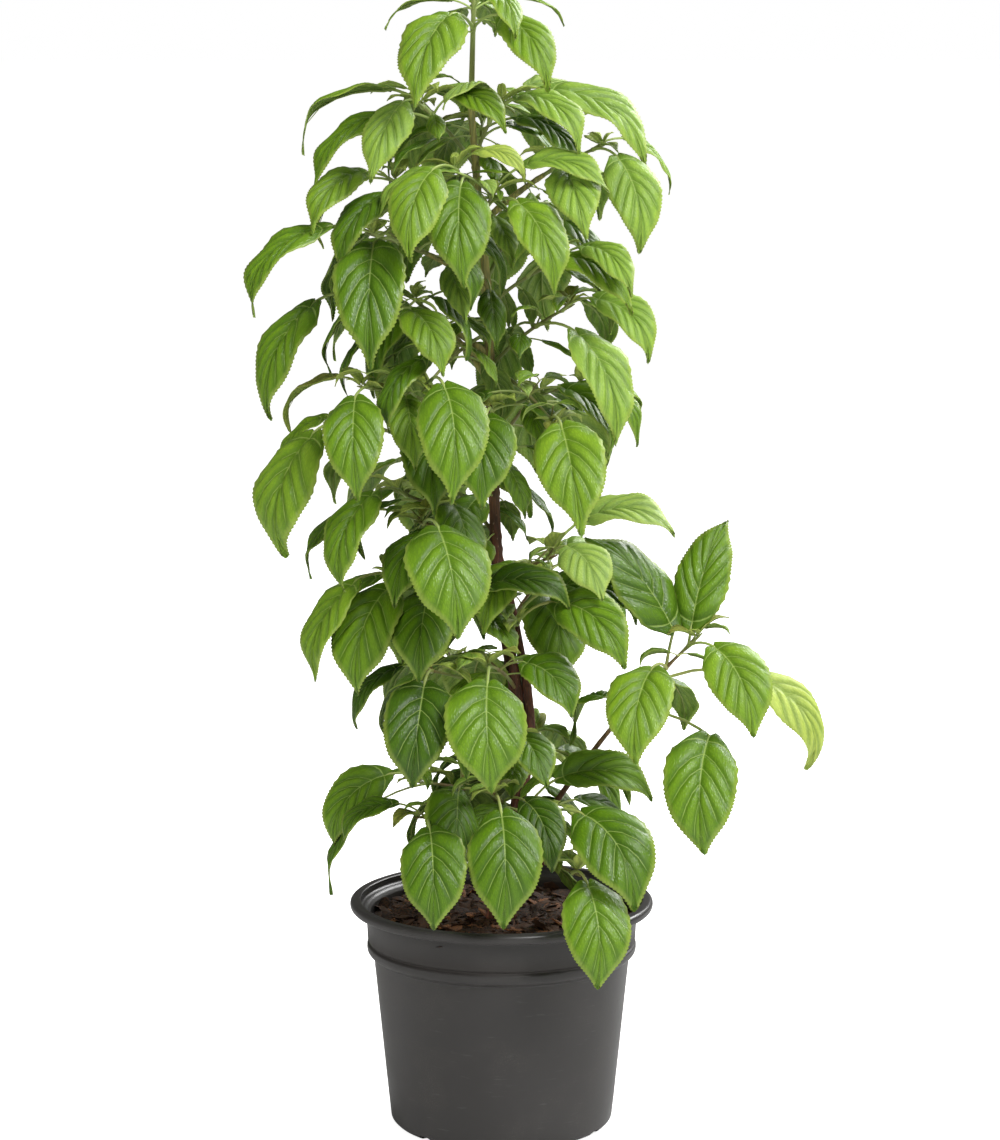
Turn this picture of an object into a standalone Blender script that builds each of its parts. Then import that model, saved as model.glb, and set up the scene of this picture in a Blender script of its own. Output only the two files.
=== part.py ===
"""Climbing hydrangea growing in a round nursery pot.

Metres, +Z up, origin at the centre of the pot's flat underside. -Y is the front.
The pot holds a filled ball of potting mix. A main stem and a second stem that
twines round its foot stand on the mix. Short boughs leave the stems, and each
bough carries one mass of leaves: a twig with opposite leaves on long petioles.
"""

import math
import random
from collections import namedtuple

import bmesh
import bpy
from mathutils import Matrix, Vector
from mathutils.bvhtree import BVHTree

MM = 0.001
GAP = 0.3 * MM  # clear space between neighbouring solids
UP = Vector((0, 0, 1))

# Pot, as radii and heights.
POT_HEIGHT = 148 * MM
LIP_RADIUS = 98 * MM
COLLAR_RADIUS = 87.6 * MM
COLLAR_HEIGHT = 37 * MM  # from the lip's top down to the step
SHOULDER_RADIUS = 82.8 * MM  # body just under the step
BASE_RADIUS = 72.5 * MM
CORNER = 9 * MM  # rounding where the body meets the base
WALL = 1.8 * MM
NOTCHES = 7  # drainage notches through the foot of the wall
NOTCH_WIDTH = 9 * MM
NOTCH_HEIGHT = 3.5 * MM
NOTCH_DEPTH = 13 * MM  # how far a notch runs in under the base
FIRST_NOTCH = 226  # degrees
DRAIN_HOLES = 7
DRAIN_RADIUS = 4.5 * MM
DRAIN_CIRCLE = 38 * MM
POT_SIDES = 40

# Potting mix.
MIX_TOP = 135 * MM

# Main stem: its centre line as (x, y, height), in millimetres.
MAIN_LINE = (
    (3, 0, 135.3),
    (9, -2, 196),
    (13, 1, 253),
    (4, 4, 315),
    (-3, 1, 373),
    (-7, 3, 476),
    (-9, 0, 539),
    (-15, 2, 602),
    (-19, 0, 656),
)
MAIN_FLARE = 7.5 * MM
MAIN_FOOT = 5.2 * MM
MAIN_TIP = 2.0 * MM
FLARE_HEIGHT = 14 * MM
MAIN_POINTS = 14

# Second stem: it winds round the main stem and ends as the right-hand bough.
TWINE_FOOT = 3.6 * MM
TWINE_TIP = 2.4 * MM
TWINE_TOP = 352 * MM
TWINE_START = 205  # degrees round the main stem at the foot
TWINE_TURN = 205  # degrees turned on the way up
TWINE_CLEAR = 0.6 * MM
TWINE_POINTS = 13
TWINED = "right_mid"  # the shoot that leaves the second stem

# Boughs and twigs.
BOUGH_FOOT = 2.3 * MM
BOUGH_TIP = 1.5 * MM
TWIG_FOOT = 1.35 * MM
TWIG_TIP = 0.9 * MM
LIMB_POINTS = 5  # points along a bough or a twig
BOUGH_ARCH = 0.12  # rise of a bough's middle, as a share of its length
BARE_SHARE = 0.56  # share of a long shoot that is bough, before its leaves
LONG_SHOOT = 76 * MM  # a shoot at least this long has a bough, and a shorter one is all twig
FIRST_NODE = 0.64  # share of the shoot at which its lowest leaves stand
LAST_NODE = 0.97

# Leaves.
PETIOLE_SHARE = 0.42  # petiole length as a share of the blade's
UPRIGHT_SHARE = 0.22  # the same for a blade that stands up
FACING = 26  # degrees that a listed blade on the right rolls to show its face at the front
FACING_LEFT = 0.4  # the same for a blade on the left, as a share of it
PETIOLE_RADIUS = 0.75 * MM
SUNK = -0.03  # where a petiole starts inside its twig, as a share of its length
BLADE_WIDTH = 0.57  # width as a share of length
WIDEST = 0.41  # where a blade is widest, from its base
BLADE_THICK = 0.013  # as a share of length
CUP = 0.30  # how far the margins bend down
FOLD = 0.10  # how far the halves fold up from the midrib
BEND = 74  # degrees that a hanging blade turns down along its length
PARTNER = 0.94  # a rule-made leaf's length as a share of its partner's
TEST_THICK = 2.2 * MM  # thickness of a blade in the test for clearance
SPACE = 150 * MM  # radius of the space that a mass keeps to, round its tip
BLADE_RINGS = (0.13, 0.42, 0.76)

# One shoot for each mass of leaves. joint is the height at which it leaves its stem,
# tip its end (all in mm), and nodes the places along it that bear leaves, from the
# lowest up. A node lists one or both leaves of its pair: the compass heading of a
# leaf (0 is right, 90 back, 180 left, 270 front), how far its blade hangs below
# level, the blade's length in mm and, for some, how far the blade swings round from
# its petiole's heading, how many times longer its petiole is and how far it rolls to
# face the front. The partner of a single leaf grows by rule.
Shoot = namedtuple("Shoot", "name joint tip nodes")
SHOOTS = (
    Shoot(
        "right_leap",
        164,
        (122, -28, 322),
        (
            ((316, 62, 84, -62, 1.9), (130, 30, 44)),
            ((348, 50, 88, 0, 2.1), (60, 46, 60)),
            ((250, 46, 78), (300, -50, 82, -120, 1.5, 50)),
            ((302, 48, 74), (50, -62, 82, 0, 0.6)),
        ),
    ),
    Shoot("front_low", 368, (-50, -48, 400), (((240, 46, 66),), ((285, 54, 84),))),
    Shoot("front_mid", 514, (-46, -50, 486), (((225, 50, 64),), ((284, 56, 88),))),
    Shoot("front_skirt", 284, (-8, -54, 310), (((318, 34, 58),), ((268, 60, 80),))),
    Shoot("front_knee", 272, (-46, -36, 304), (((264, 56, 78), (190, 50, 56)),)),
    Shoot("front_high", 590, (-28, -36, 618), (((266, 58, 80),), ((246, 52, 76), (330, 20, 44)))),
    Shoot("left_high", 540, (-78, -30, 577), (((160, 48, 62),), ((245, 56, 96, 22),), ((200, 42, 86),))),
    Shoot("right_arch", 492, (40, -10, 530), (((308, 58, 86, 0, 1, 6),), ((325, 38, 64), (60, 44, 64)))),
    Shoot("right_k", 492, (32, -40, 462), (((330, 44, 62),), ((280, 58, 82),))),
    Shoot(
        "crown",
        656,
        (-17, 0, 728),
        (((249, 44, 88), (305, 44, 72)), ((85, 24, 62),), ((150, 12, 54), (20, 14, 48))),
    ),
    Shoot(
        "upper_left",
        618,
        (-50, -6, 656),
        (((203, 40, 80),), ((187, 28, 82), (312, 26, 54)), ((248, 50, 68),)),
    ),
    Shoot("left_shoulder", 572, (-66, 2, 608), (((232, 50, 80),), ((228, 46, 68), (165, 52, 60)))),
    Shoot("left_mid", 500, (-92, -4, 540), (((150, 50, 66),), ((222, 62, 90),))),
    Shoot("left_inner", 494, (-70, -26, 528), (((182, 6, 44),), ((300, 42, 62), (215, 30, 48)))),
    Shoot("front_heart", 446, (-6, -28, 468), (((264, 56, 72), (335, 44, 56)),)),
    Shoot("left_bronze", 450, (-84, -26, 482), (((258, 50, 62, 20),), ((256, 58, 80, 12), (160, 40, 58)))),
    Shoot("left_low", 412, (-94, -8, 460), (((140, 50, 70),), ((227, 66, 94), (190, 50, 56)))),
    Shoot("left_knee", 376, (-62, -26, 415), (((258, 50, 74), (180, 46, 60)), ((236, 52, 78),))),
    Shoot(
        "left_skirt",
        318,
        (-68, -20, 362),
        (((262, 58, 74),), ((246, 56, 82), (170, 50, 64)), ((220, 60, 78),)),
    ),
    Shoot("front_stem", 330, (-28, -38, 336), (((240, 50, 68), (338, 8, 66)),)),
    Shoot("right_small", 460, (48, 4, 480), (((352, 42, 62),), ((318, 40, 58), (40, 42, 56)))),
    Shoot("right_shoulder", 530, (32, -12, 558), (((316, 28, 74), (40, 46, 64)), ((306, 48, 78),))),
    Shoot("right_high", 579, (-6, -38, 602), (((302, 52, 76), (240, 30, 46)), ((335, 14, 66),))),
    Shoot("right_bud", 582, (60, 4, 630), (((280, 62, 84), (60, 46, 60)), ((296, 60, 74), (25, 44, 56)))),
    Shoot(
        "right_top",
        624,
        (-2, -4, 656),
        (((312, 28, 72),), ((335, 34, 90), (60, 30, 62)), ((25, 20, 54),)),
    ),
    Shoot("right_mid", 352, (30, -12, 372), (((25, 34, 62),), ((340, 14, 70), (300, 34, 56)))),
    Shoot("right_front", 320, (10, -24, 332), (((345, 12, 72), (45, 34, 52)), ((336, 24, 84),))),
    Shoot("right_low", 204, (14, -34, 208), (((352, 8, 72, 0, 1.2, 44), (215, 20, 40)),)),
    Shoot("low_right", 168, (46, -74, 182), (((230, 40, 48),), ((285, 58, 78),))),
    Shoot("low_right_high", 192, (30, -54, 217), (((308, 52, 86), (20, 36, 52)),)),
    Shoot("low_front", 194, (-4, -54, 228), (((318, 40, 64),), ((276, 62, 82),))),
    Shoot("low_front_left", 188, (-50, -52, 213), (((276, 58, 74), (190, 30, 48)),)),
    Shoot(
        "low_left",
        206,
        (-48, -20, 228),
        (((238, 52, 74, 0, 1, 50),), ((200, 44, 66, 0, 1, 60), (140, 44, 52))),
    ),
    Shoot("front_base", 240, (2, -26, 258), (((294, 34, 52), (250, 34, 46)),)),
    Shoot("back_top", 606, (-12, 46, 646), (((30, 40, 70),), ((110, 46, 78),), ((60, 36, 70),))),
    Shoot("back_high", 546, (14, 50, 586), (((20, 48, 72),), ((100, 52, 82),), ((50, 44, 70),))),
    Shoot("back_left", 482, (-54, 44, 530), (((170, 50, 74),), ((110, 54, 82),), ((145, 46, 70),))),
    Shoot("back_mid", 436, (24, 50, 470), (((20, 48, 70),), ((90, 54, 80),), ((50, 48, 70),))),
    Shoot("back_knee", 384, (-46, 48, 420), (((165, 50, 74),), ((100, 54, 82),), ((140, 48, 70),))),
    Shoot("back_low", 322, (28, 50, 350), (((20, 48, 70),), ((80, 54, 80),), ((50, 46, 70),))),
    Shoot("back_skirt", 262, (-32, 50, 292), (((160, 50, 72),), ((100, 54, 80),), ((135, 48, 66),))),
    Shoot("back_base", 204, (20, 46, 240), (((30, 44, 66),), ((110, 54, 76),), ((65, 46, 66),))),
)

Leaf = namedtuple("Leaf", "root base heading swing lift level hang petiole blade width tilt")


def compass(degrees):
    """The level unit vector that points in a compass direction."""
    turn = math.radians(degrees)
    return Vector((math.cos(turn), math.sin(turn), 0))


def clear_scene():
    for obj in list(bpy.data.objects):
        bpy.data.objects.remove(obj)


def collection(name):
    made = bpy.data.collections.new(name)
    bpy.context.scene.collection.children.link(made)
    return made


def material(name, colour, roughness, metallic=0.0):
    made = bpy.data.materials.new(name)
    made.use_nodes = True
    made.diffuse_color = (*colour, 1)
    shader = made.node_tree.nodes["Principled BSDF"]
    shader.inputs["Base Color"].default_value = (*colour, 1)
    shader.inputs["Roughness"].default_value = roughness
    shader.inputs["Metallic"].default_value = metallic
    return made


def mesh_object(name, mesh, home):
    obj = bpy.data.objects.new(name, mesh)
    home.objects.link(obj)
    return obj


def as_mesh(obj):
    """The evaluated mesh of an object, with its loose caps welded. The object is removed."""
    bpy.context.view_layer.update()
    graph = bpy.context.evaluated_depsgraph_get()
    mesh = bpy.data.meshes.new_from_object(obj.evaluated_get(graph))
    mesh.transform(obj.matrix_world)
    bpy.data.objects.remove(obj)
    bm = bmesh.new()
    bm.from_mesh(mesh)
    bmesh.ops.remove_doubles(bm, verts=bm.verts, dist=0.0005 * MM)
    bmesh.ops.recalc_face_normals(bm, faces=bm.faces)
    bm.to_mesh(mesh)
    bm.free()
    return mesh


def tube(name, points, radii, home, rounding=0):
    """A limb through the points, with its own radius at each one."""
    curve = bpy.data.curves.new(name, "CURVE")
    curve.dimensions = "3D"
    curve.bevel_depth = 1.0
    curve.bevel_resolution = rounding
    curve.use_fill_caps = True
    spline = curve.splines.new("POLY")
    spline.points.add(len(points) - 1)
    for point, place, radius in zip(spline.points, points, radii):
        point.co = (*place, 1)
        point.radius = radius
    limb = bpy.data.objects.new(name, curve)
    home.objects.link(limb)
    mesh = as_mesh(limb)
    mesh.name = name
    return mesh_object(name, mesh, home)


def smooth_line(knots, height):
    """The point at a height on a smooth line through knots that rise one by one."""
    last = len(knots) - 2
    k = 0
    while k < last and height > knots[k + 1].z:
        k += 1
    a, b = knots[k], knots[k + 1]
    before = knots[max(k - 1, 0)]
    after = knots[min(k + 2, last + 1)]
    span = b.z - a.z
    share = (height - a.z) / span
    slope_a = (b - before) * (span / (b.z - before.z))
    slope_b = (after - a) * (span / (after.z - a.z))
    s2, s3 = share**2, share**3
    point = (
        a * (2 * s3 - 3 * s2 + 1)
        + slope_a * (s3 - 2 * s2 + share)
        + b * (3 * s2 - 2 * s3)
        + slope_b * (s3 - s2)
    )
    return Vector((point.x, point.y, height))


MAIN_KNOTS = [Vector(knot) * MM for knot in MAIN_LINE]
MAIN_BOTTOM, MAIN_HEIGHT = MAIN_KNOTS[0].z, MAIN_KNOTS[-1].z


def main_point(height):
    return smooth_line(MAIN_KNOTS, height)


def main_radius(height):
    """Even taper up the stem, with a flare just above the mix."""
    share = (height - MAIN_BOTTOM) / (MAIN_HEIGHT - MAIN_BOTTOM)
    taper = MAIN_FOOT + (MAIN_TIP - MAIN_FOOT) * share
    flare = max(0.0, 1 - (height - MAIN_BOTTOM) / FLARE_HEIGHT)
    return taper + (MAIN_FLARE - MAIN_FOOT) * flare**2


def twine_radius(height):
    share = (height - MAIN_BOTTOM) / (TWINE_TOP - MAIN_BOTTOM)
    return TWINE_FOOT + (TWINE_TIP - TWINE_FOOT) * share


def twine_point(height):
    """The second stem's centre, wound round the main stem just clear of it."""
    share = (height - MAIN_BOTTOM) / (TWINE_TOP - MAIN_BOTTOM)
    away = main_radius(height) + twine_radius(height) + TWINE_CLEAR
    return main_point(height) + compass(TWINE_START + TWINE_TURN * share) * away


def steps(start, end, count):
    return [start + (end - start) * k / (count - 1) for k in range(count)]


def stems(home, swell=0.0):
    """The two stems, made thicker by swell when they serve as cutters."""
    made = []
    for name, point, radius, top, count in (
        ("main_stem", main_point, main_radius, MAIN_HEIGHT, MAIN_POINTS),
        ("twining_stem", twine_point, twine_radius, TWINE_TOP, TWINE_POINTS),
    ):
        heights = steps(MAIN_BOTTOM, top, count)
        heights.insert(1, MAIN_BOTTOM + FLARE_HEIGHT / 3)
        places = [point(height) for height in heights]
        places[0].xy = places[1].xy
        thick = [radius(height) + swell for height in heights]
        made.append(tube(name, places, thick, home, rounding=2))
    return made


def shoot_start(shoot):
    """Where the shoot leaves its stem, on the stem's centre line."""
    twined = shoot.name == TWINED
    return (twine_point if twined else main_point)(shoot.joint * MM)


def shoot_length(shoot):
    return (Vector(shoot.tip) * MM - shoot_start(shoot)).length


def shoot_line(shoot):
    """The shoot's curve as a function of the share of the way from its joint to its tip."""
    start = shoot_start(shoot)
    tip = Vector(shoot.tip) * MM
    turn = start.lerp(tip, 0.45) + UP * BOUGH_ARCH * shoot_length(shoot)

    def at(share):
        first = start.lerp(turn, share)
        return first.lerp(turn.lerp(tip, share), share)

    return at


def bare_share(shoot):
    """The share of the shoot that is bough: nothing on a short shoot or on the crown."""
    return BARE_SHARE if shoot_length(shoot) > LONG_SHOOT and shoot.name != "crown" else 0.0


def arc(length, start, end, share):
    """Forward and upward travel along an arc whose slope goes evenly from start to end, in degrees."""
    first = math.radians(start)
    turn = math.radians(end - start) * share
    if abs(turn) < 1e-4:
        turn = 1e-4
    forward = (math.sin(first + turn) - math.sin(first)) / turn
    upward = (math.cos(first) - math.cos(first + turn)) / turn
    return length * share * forward, length * share * upward, first + turn


def half_width(share):
    """A blade's width along its length, 1 at its widest: a round base and a drawn-out tip."""
    if share <= WIDEST:
        return math.sqrt(max(0.0, 1 - (1 - share / WIDEST) ** 2))
    ahead = (share - WIDEST) / (1 - WIDEST)
    return max(0.0, 1 - ahead**2.1) ** 1.08


def blade_frame(leaf, share):
    """Midrib point, and the directions across and out of the blade's upper face."""
    forward, upward, slope = arc(leaf.blade, leaf.level, leaf.hang, share)
    ahead = compass(leaf.heading + leaf.swing)
    out = UP * math.cos(slope) - ahead * math.sin(slope)
    side = compass(leaf.heading + leaf.swing - 90)
    tilt = math.radians(leaf.tilt)
    across = side * math.cos(tilt) + out * math.sin(tilt)
    face = out * math.cos(tilt) - side * math.sin(tilt)
    return leaf.base + ahead * forward + UP * upward, across, face


def blade_point(leaf, share, side):
    """The point at a share of the way to the tip, side being -1 to 1 across the blade."""
    middle, across, face = blade_frame(leaf, share)
    wide = half_width(share) * leaf.width / 2
    return middle + across * side * wide + face * wide * (FOLD - CUP * abs(side)) * abs(side)


def petiole_point(leaf, share):
    forward, upward, _ = arc(leaf.petiole, leaf.lift, leaf.level, share)
    return leaf.root + compass(leaf.heading) * forward + UP * upward


def blade_ring(leaf, share, thick):
    """Four corners round a blade: one margin, upper midrib, other margin, lower midrib."""
    middle, _, face = blade_frame(leaf, share)
    left, right = blade_point(leaf, share, -1), blade_point(leaf, share, 1)
    return [left, middle + face * thick / 2, right, middle - face * thick / 2]


def petiole_ring(leaf, share, radius):
    """Four corners round a petiole, in the same order as a blade's."""
    _, across, face = blade_frame(leaf._replace(swing=leaf.swing * share), 0)
    middle = petiole_point(leaf, share)
    return [middle + offset * radius for offset in (-across, face, across, -face)]


def loft(rings, tip, name):
    """A closed solid through four-cornered rings, ending in a point."""
    bm = bmesh.new()
    rows = [[bm.verts.new(corner) for corner in ring] for ring in rings]
    point = bm.verts.new(tip)
    bm.faces.new(rows[0])
    for row, following in zip(rows, rows[1:]):
        for k in range(4):
            n = (k + 1) % 4
            bm.faces.new((row[n], row[k], following[k], following[n]))
    for k in range(4):
        bm.faces.new((rows[-1][(k + 1) % 4], rows[-1][k], point))
    bmesh.ops.triangulate(bm, faces=bm.faces)
    bmesh.ops.recalc_face_normals(bm, faces=bm.faces)
    mesh = bpy.data.meshes.new(name)
    bm.to_mesh(mesh)
    bm.free()
    return mesh


def leaf_solid(leaf, name):
    """A leaf with its petiole, the petiole's root sunk in the twig."""
    thick = leaf.blade * BLADE_THICK
    rings = [petiole_ring(leaf, share, PETIOLE_RADIUS) for share in (SUNK, 0.55, 1)]
    rings += [blade_ring(leaf, share, thick) for share in BLADE_RINGS]
    return loft(rings, blade_point(leaf, 1, 0), name)


def tree_of(mesh):
    """A mesh's search tree with the corners of its box."""
    places = [vertex.co.copy() for vertex in mesh.vertices]
    faces = [tuple(face.vertices) for face in mesh.polygons]
    low = Vector([min(place[axis] for place in places) for axis in range(3)])
    high = Vector([max(place[axis] for place in places) for axis in range(3)])
    return BVHTree.FromPolygons(places, faces), low, high


def meets(tree, others):
    """Whether a search tree touches any of the others."""
    found, low, high = tree
    for other, its_low, its_high in others:
        apart = any(low[k] > its_high[k] or high[k] < its_low[k] for k in range(3))
        if not apart and found.overlap(other):
            return True
    return False


def test_trees(leaf):
    """Search trees of a leaf's blade and of its petiole, each a little thicker than life."""
    rings = [blade_ring(leaf, share, TEST_THICK) for share in (0.04, *BLADE_RINGS)]
    blade = loft(rings, blade_point(leaf, 1, 0), "test")
    stalk_rings = [petiole_ring(leaf, share, 1.5 * PETIOLE_RADIUS) for share in (0.12, 0.55, 0.96)]
    stalk = loft(stalk_rings, blade_point(leaf, 0.04, 0), "test")
    trees = tree_of(blade), tree_of(stalk)
    for mesh in (blade, stalk):
        bpy.data.meshes.remove(mesh)
    return trees


def turned_outward(heading, place, share=0.55):
    """A heading turned towards the light, away from the main stem."""
    away = place - main_point(min(place.z, MAIN_HEIGHT))
    away.z = 0
    if away.length < 1 * MM:
        return heading
    bound = compass(heading) + away.normalized() * share
    return math.degrees(math.atan2(bound.y, bound.x))


def leaf_nodes(shoot):
    """Where each pair of leaves stands, as shares of the shoot's length."""
    count = len(shoot.nodes)
    if count == 1:
        return [LAST_NODE]
    return steps(FIRST_NODE, LAST_NODE, count)


def leaf_of(shoot, share, draw, heading, droop, length, swing=0, stalk=1.0, facing=FACING):
    """A leaf on the shoot, with its seeded variation."""
    blade = length * MM * draw.uniform(0.98, 1.02)
    width = blade * BLADE_WIDTH * draw.uniform(0.92, 1.1)
    petiole = blade * stalk * (PETIOLE_SHARE if droop > 0 else UPRIGHT_SHARE)
    petiole *= draw.uniform(0.88, 1.12)
    bend = BEND if droop > 0 else BEND * 0.4
    level = bend / 2 - droop
    lift = min(78.0, level + draw.uniform(34, 50))
    aside = math.cos(math.radians(heading + swing))
    tilt = draw.uniform(-12, 12) - facing * aside * (1 if aside > 0 or facing > FACING else FACING_LEFT)
    root = shoot_line(shoot)(share)
    hang = level - bend
    return Leaf(root, None, heading, swing, lift, level, hang, petiole, blade, width, tilt)


def seated(leaf):
    """The leaf with its blade's base worked out at the petiole's end."""
    return leaf._replace(base=petiole_point(leaf, 1))


# Changes tried one by one where a leaf would touch something: turn, drop, size and roll.
TRIES = (
    (0, 0, 1, 0),
    (9, 0, 1, 8),
    (-9, 0, 1, -8),
    (0, 10, 1, 0),
    (0, -12, 1, 0),
    (18, 4, 0.94, 14),
    (-18, 4, 0.94, -14),
    (30, -6, 0.88, 10),
    (-30, -6, 0.88, -10),
    (0, 16, 0.82, 18),
    (0, -20, 0.82, -18),
    (45, 8, 0.8, 20),
    (-45, 8, 0.8, -20),
)


def changed(leaf, turn, drop, size, roll):
    return seated(
        leaf._replace(
            heading=leaf.heading + turn,
            level=leaf.level - drop,
            hang=leaf.hang - drop,
            blade=leaf.blade * size,
            width=leaf.width * size,
            tilt=leaf.tilt + roll,
        )
    )


def keeps_to_space(leaf, shoot):
    """Whether the leaf stays in its mass's space and above the ground."""
    middle = shoot_line(shoot)(1)
    far = blade_point(leaf, 1, 0)
    return (far - middle).length < SPACE and far.z > POT_HEIGHT / 3


def wanted_leaves(shoot, listed):
    """The shoot's listed leaves, or the rule-made partners of its single ones."""
    draw = random.Random(shoot.name + ("" if listed else " partners"))
    for share, pair in zip(leaf_nodes(shoot), shoot.nodes):
        if listed:
            for leaf in pair:
                yield leaf_of(shoot, share, draw, *leaf)
        elif len(pair) == 1:
            heading, droop, length = pair[0][:3]
            across = turned_outward(heading + 180, shoot_line(shoot)(share))
            sag = max(droop, 30) + draw.uniform(-12, 8)
            yield leaf_of(shoot, share, draw, across, sag, length * PARTNER, facing=0)


def grow_leaves(limbs, twigs):
    """Every leaf of every mass that has room: first the listed leaves, then their partners."""
    kept = {shoot.name: [] for shoot in SHOOTS}
    own = {name: tree_of(mesh) for name, mesh in twigs.items()}
    taken = [tree_of(limb.data) for limb in limbs]
    for listed in (True, False):
        for shoot in SHOOTS:
            for wanted in wanted_leaves(shoot, listed):
                for attempt in TRIES:
                    leaf = changed(wanted, *attempt)
                    if not keeps_to_space(leaf, shoot):
                        continue
                    blade, stalk = test_trees(leaf)
                    if meets(blade, taken) or meets(blade, own.values()):
                        continue
                    others = [tree for name, tree in own.items() if name != shoot.name]
                    if meets(stalk, taken) or meets(stalk, others):
                        continue
                    taken += [blade, stalk]
                    kept[shoot.name].append(leaf)
                    break
    return kept


def limb_points(shoot, start, end, count):
    at = shoot_line(shoot)
    return [at(share) for share in steps(start, end, count)]


def keep_largest(mesh):
    """Removes every loose piece of a mesh but the one with the most corners."""
    bm = bmesh.new()
    bm.from_mesh(mesh)
    left = set(bm.verts)
    pieces = []
    while left:
        edge = [left.pop()]
        piece = list(edge)
        while edge:
            vertex = edge.pop()
            for link in vertex.link_edges:
                other = link.other_vert(vertex)
                if other in left:
                    left.remove(other)
                    edge.append(other)
                    piece.append(other)
        pieces.append(piece)
    pieces.sort(key=len)
    for piece in pieces[:-1]:
        bmesh.ops.delete(bm, geom=piece, context="VERTS")
    bm.to_mesh(mesh)
    bm.free()


def cut_clear(obj, cutters):
    """Cuts the object back from the cutters and keeps the result as its mesh."""
    for cutter in cutters:
        modifier = obj.modifiers.new("cut", "BOOLEAN")
        modifier.operation = "DIFFERENCE"
        modifier.solver = "EXACT"
        modifier.object = cutter
    name = obj.name
    home = obj.users_collection[0]
    mesh = as_mesh(obj)
    keep_largest(mesh)
    mesh.name = name
    return mesh_object(name, mesh, home)


def gap_share(shoot):
    """The gap between a limb and the mass at its end, as a share of the shoot's length."""
    return GAP / shoot_length(shoot)


def boughs(home, cutters):
    """The bare part of each shoot, seated on its stem."""
    made = []
    for shoot in SHOOTS:
        bare = bare_share(shoot)
        if not bare:
            continue
        points = limb_points(shoot, 0, bare, LIMB_POINTS)
        radii = steps(BOUGH_FOOT, BOUGH_TIP, LIMB_POINTS)
        bough = tube("bough_" + shoot.name, points, radii, home, rounding=1)
        made.append(cut_clear(bough, cutters))
    return made


def twig(shoot, home):
    """The stem that a mass of leaves stands on."""
    start = bare_share(shoot) + gap_share(shoot)
    points = limb_points(shoot, start, 1, LIMB_POINTS)
    foot = MAIN_TIP * 0.9 if shoot.name == "crown" else TWIG_FOOT
    radii = steps(foot, TWIG_TIP, LIMB_POINTS)
    return tube("leaves_" + shoot.name, points, radii, home)


def mass(shoot, stem, leaves, cutters):
    """One mass of foliage: the twig and its leaves fused into one solid."""
    loose = collection("loose_" + shoot.name)
    for k, leaf in enumerate(leaves):
        name = f"loose_{shoot.name}_{k}"
        mesh_object(name, leaf_solid(leaf, name), loose)
    fuse = stem.modifiers.new("fuse", "BOOLEAN")
    fuse.operation = "UNION"
    fuse.operand_type = "COLLECTION"
    fuse.solver = "EXACT"
    fuse.collection = loose
    whole = cut_clear(stem, cutters if not bare_share(shoot) and shoot.name != "crown" else ())
    for obj in list(loose.objects):
        bpy.data.objects.remove(obj)
    bpy.data.collections.remove(loose)
    return whole


def turned(name, profile, home, sides):
    """A solid turned round the vertical axis from its profile of (radius, height)."""
    bm = bmesh.new()
    verts = [bm.verts.new((radius, 0, height)) for radius, height in profile]
    for first, second in zip(verts, verts[1:]):
        bm.edges.new((first, second))
    mesh = bpy.data.meshes.new(name)
    bm.to_mesh(mesh)
    bm.free()
    obj = mesh_object(name, mesh, home)
    screw = obj.modifiers.new("turn", "SCREW")
    screw.steps = screw.render_steps = sides
    screw.use_merge_vertices = True
    screw.merge_threshold = 0.05 * MM
    screw.use_smooth_shade = False
    return obj


def body_radius(height):
    """The pot body's outer radius at a height between the rounded corner and the step."""
    top = POT_HEIGHT - COLLAR_HEIGHT
    share = (height - CORNER) / (top - CORNER)
    return BASE_RADIUS + (SHOULDER_RADIUS - BASE_RADIUS) * share


def corner_points(centre_radius, centre_height, radius, count):
    """The rounded foot of the wall, from its side down to the underside."""
    turns = [math.radians(angle) for angle in steps(0.0, -90.0, count)]
    return [
        (centre_radius + radius * math.cos(turn), centre_height + radius * math.sin(turn))
        for turn in turns
    ]


def pot_profile():
    """The pot's section, from the lip's inner edge over the top, down the outside and up the inside."""
    top = POT_HEIGHT
    step = top - COLLAR_HEIGHT
    outside = [
        (LIP_RADIUS - 6.5 * MM, top),
        (LIP_RADIUS - 2.2 * MM, top),
        (LIP_RADIUS - 0.5 * MM, top - 1.2 * MM),
        (LIP_RADIUS, top - 3 * MM),
        (LIP_RADIUS - 0.8 * MM, top - 5.2 * MM),
        (LIP_RADIUS - 3 * MM, top - 6.2 * MM),
        (COLLAR_RADIUS + 1.2 * MM, top - 7 * MM),
        (COLLAR_RADIUS, top - 9 * MM),
        (COLLAR_RADIUS - 0.9 * MM, step + 10.5 * MM),
        (COLLAR_RADIUS - 1.7 * MM, step + 9.5 * MM),
        (COLLAR_RADIUS - 0.5 * MM, step + 8.2 * MM),
        (COLLAR_RADIUS - 0.5 * MM, step + 5 * MM),
        (SHOULDER_RADIUS + 1.2 * MM, step + 0.8 * MM),
        (SHOULDER_RADIUS, step),
    ]
    outside += corner_points(BASE_RADIUS - CORNER, CORNER, CORNER, 5)
    inside = [
        (0, 0),
        (0, WALL),
        (BASE_RADIUS - CORNER, WALL),
        (inner_radius(WALL + CORNER / 2), WALL + CORNER / 2),
        (inner_radius(step - WALL), step - WALL),
        (COLLAR_RADIUS - WALL - 1.2 * MM, step + 4 * MM),
        (COLLAR_RADIUS - WALL - 1.2 * MM, top - 8 * MM),
        (COLLAR_RADIUS + 1.2 * MM, top - 5.4 * MM),
        (LIP_RADIUS - 7.6 * MM, top - 1.2 * MM),
    ]
    return outside + inside + outside[:1]


def inner_radius(height):
    return body_radius(height) - WALL


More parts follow.
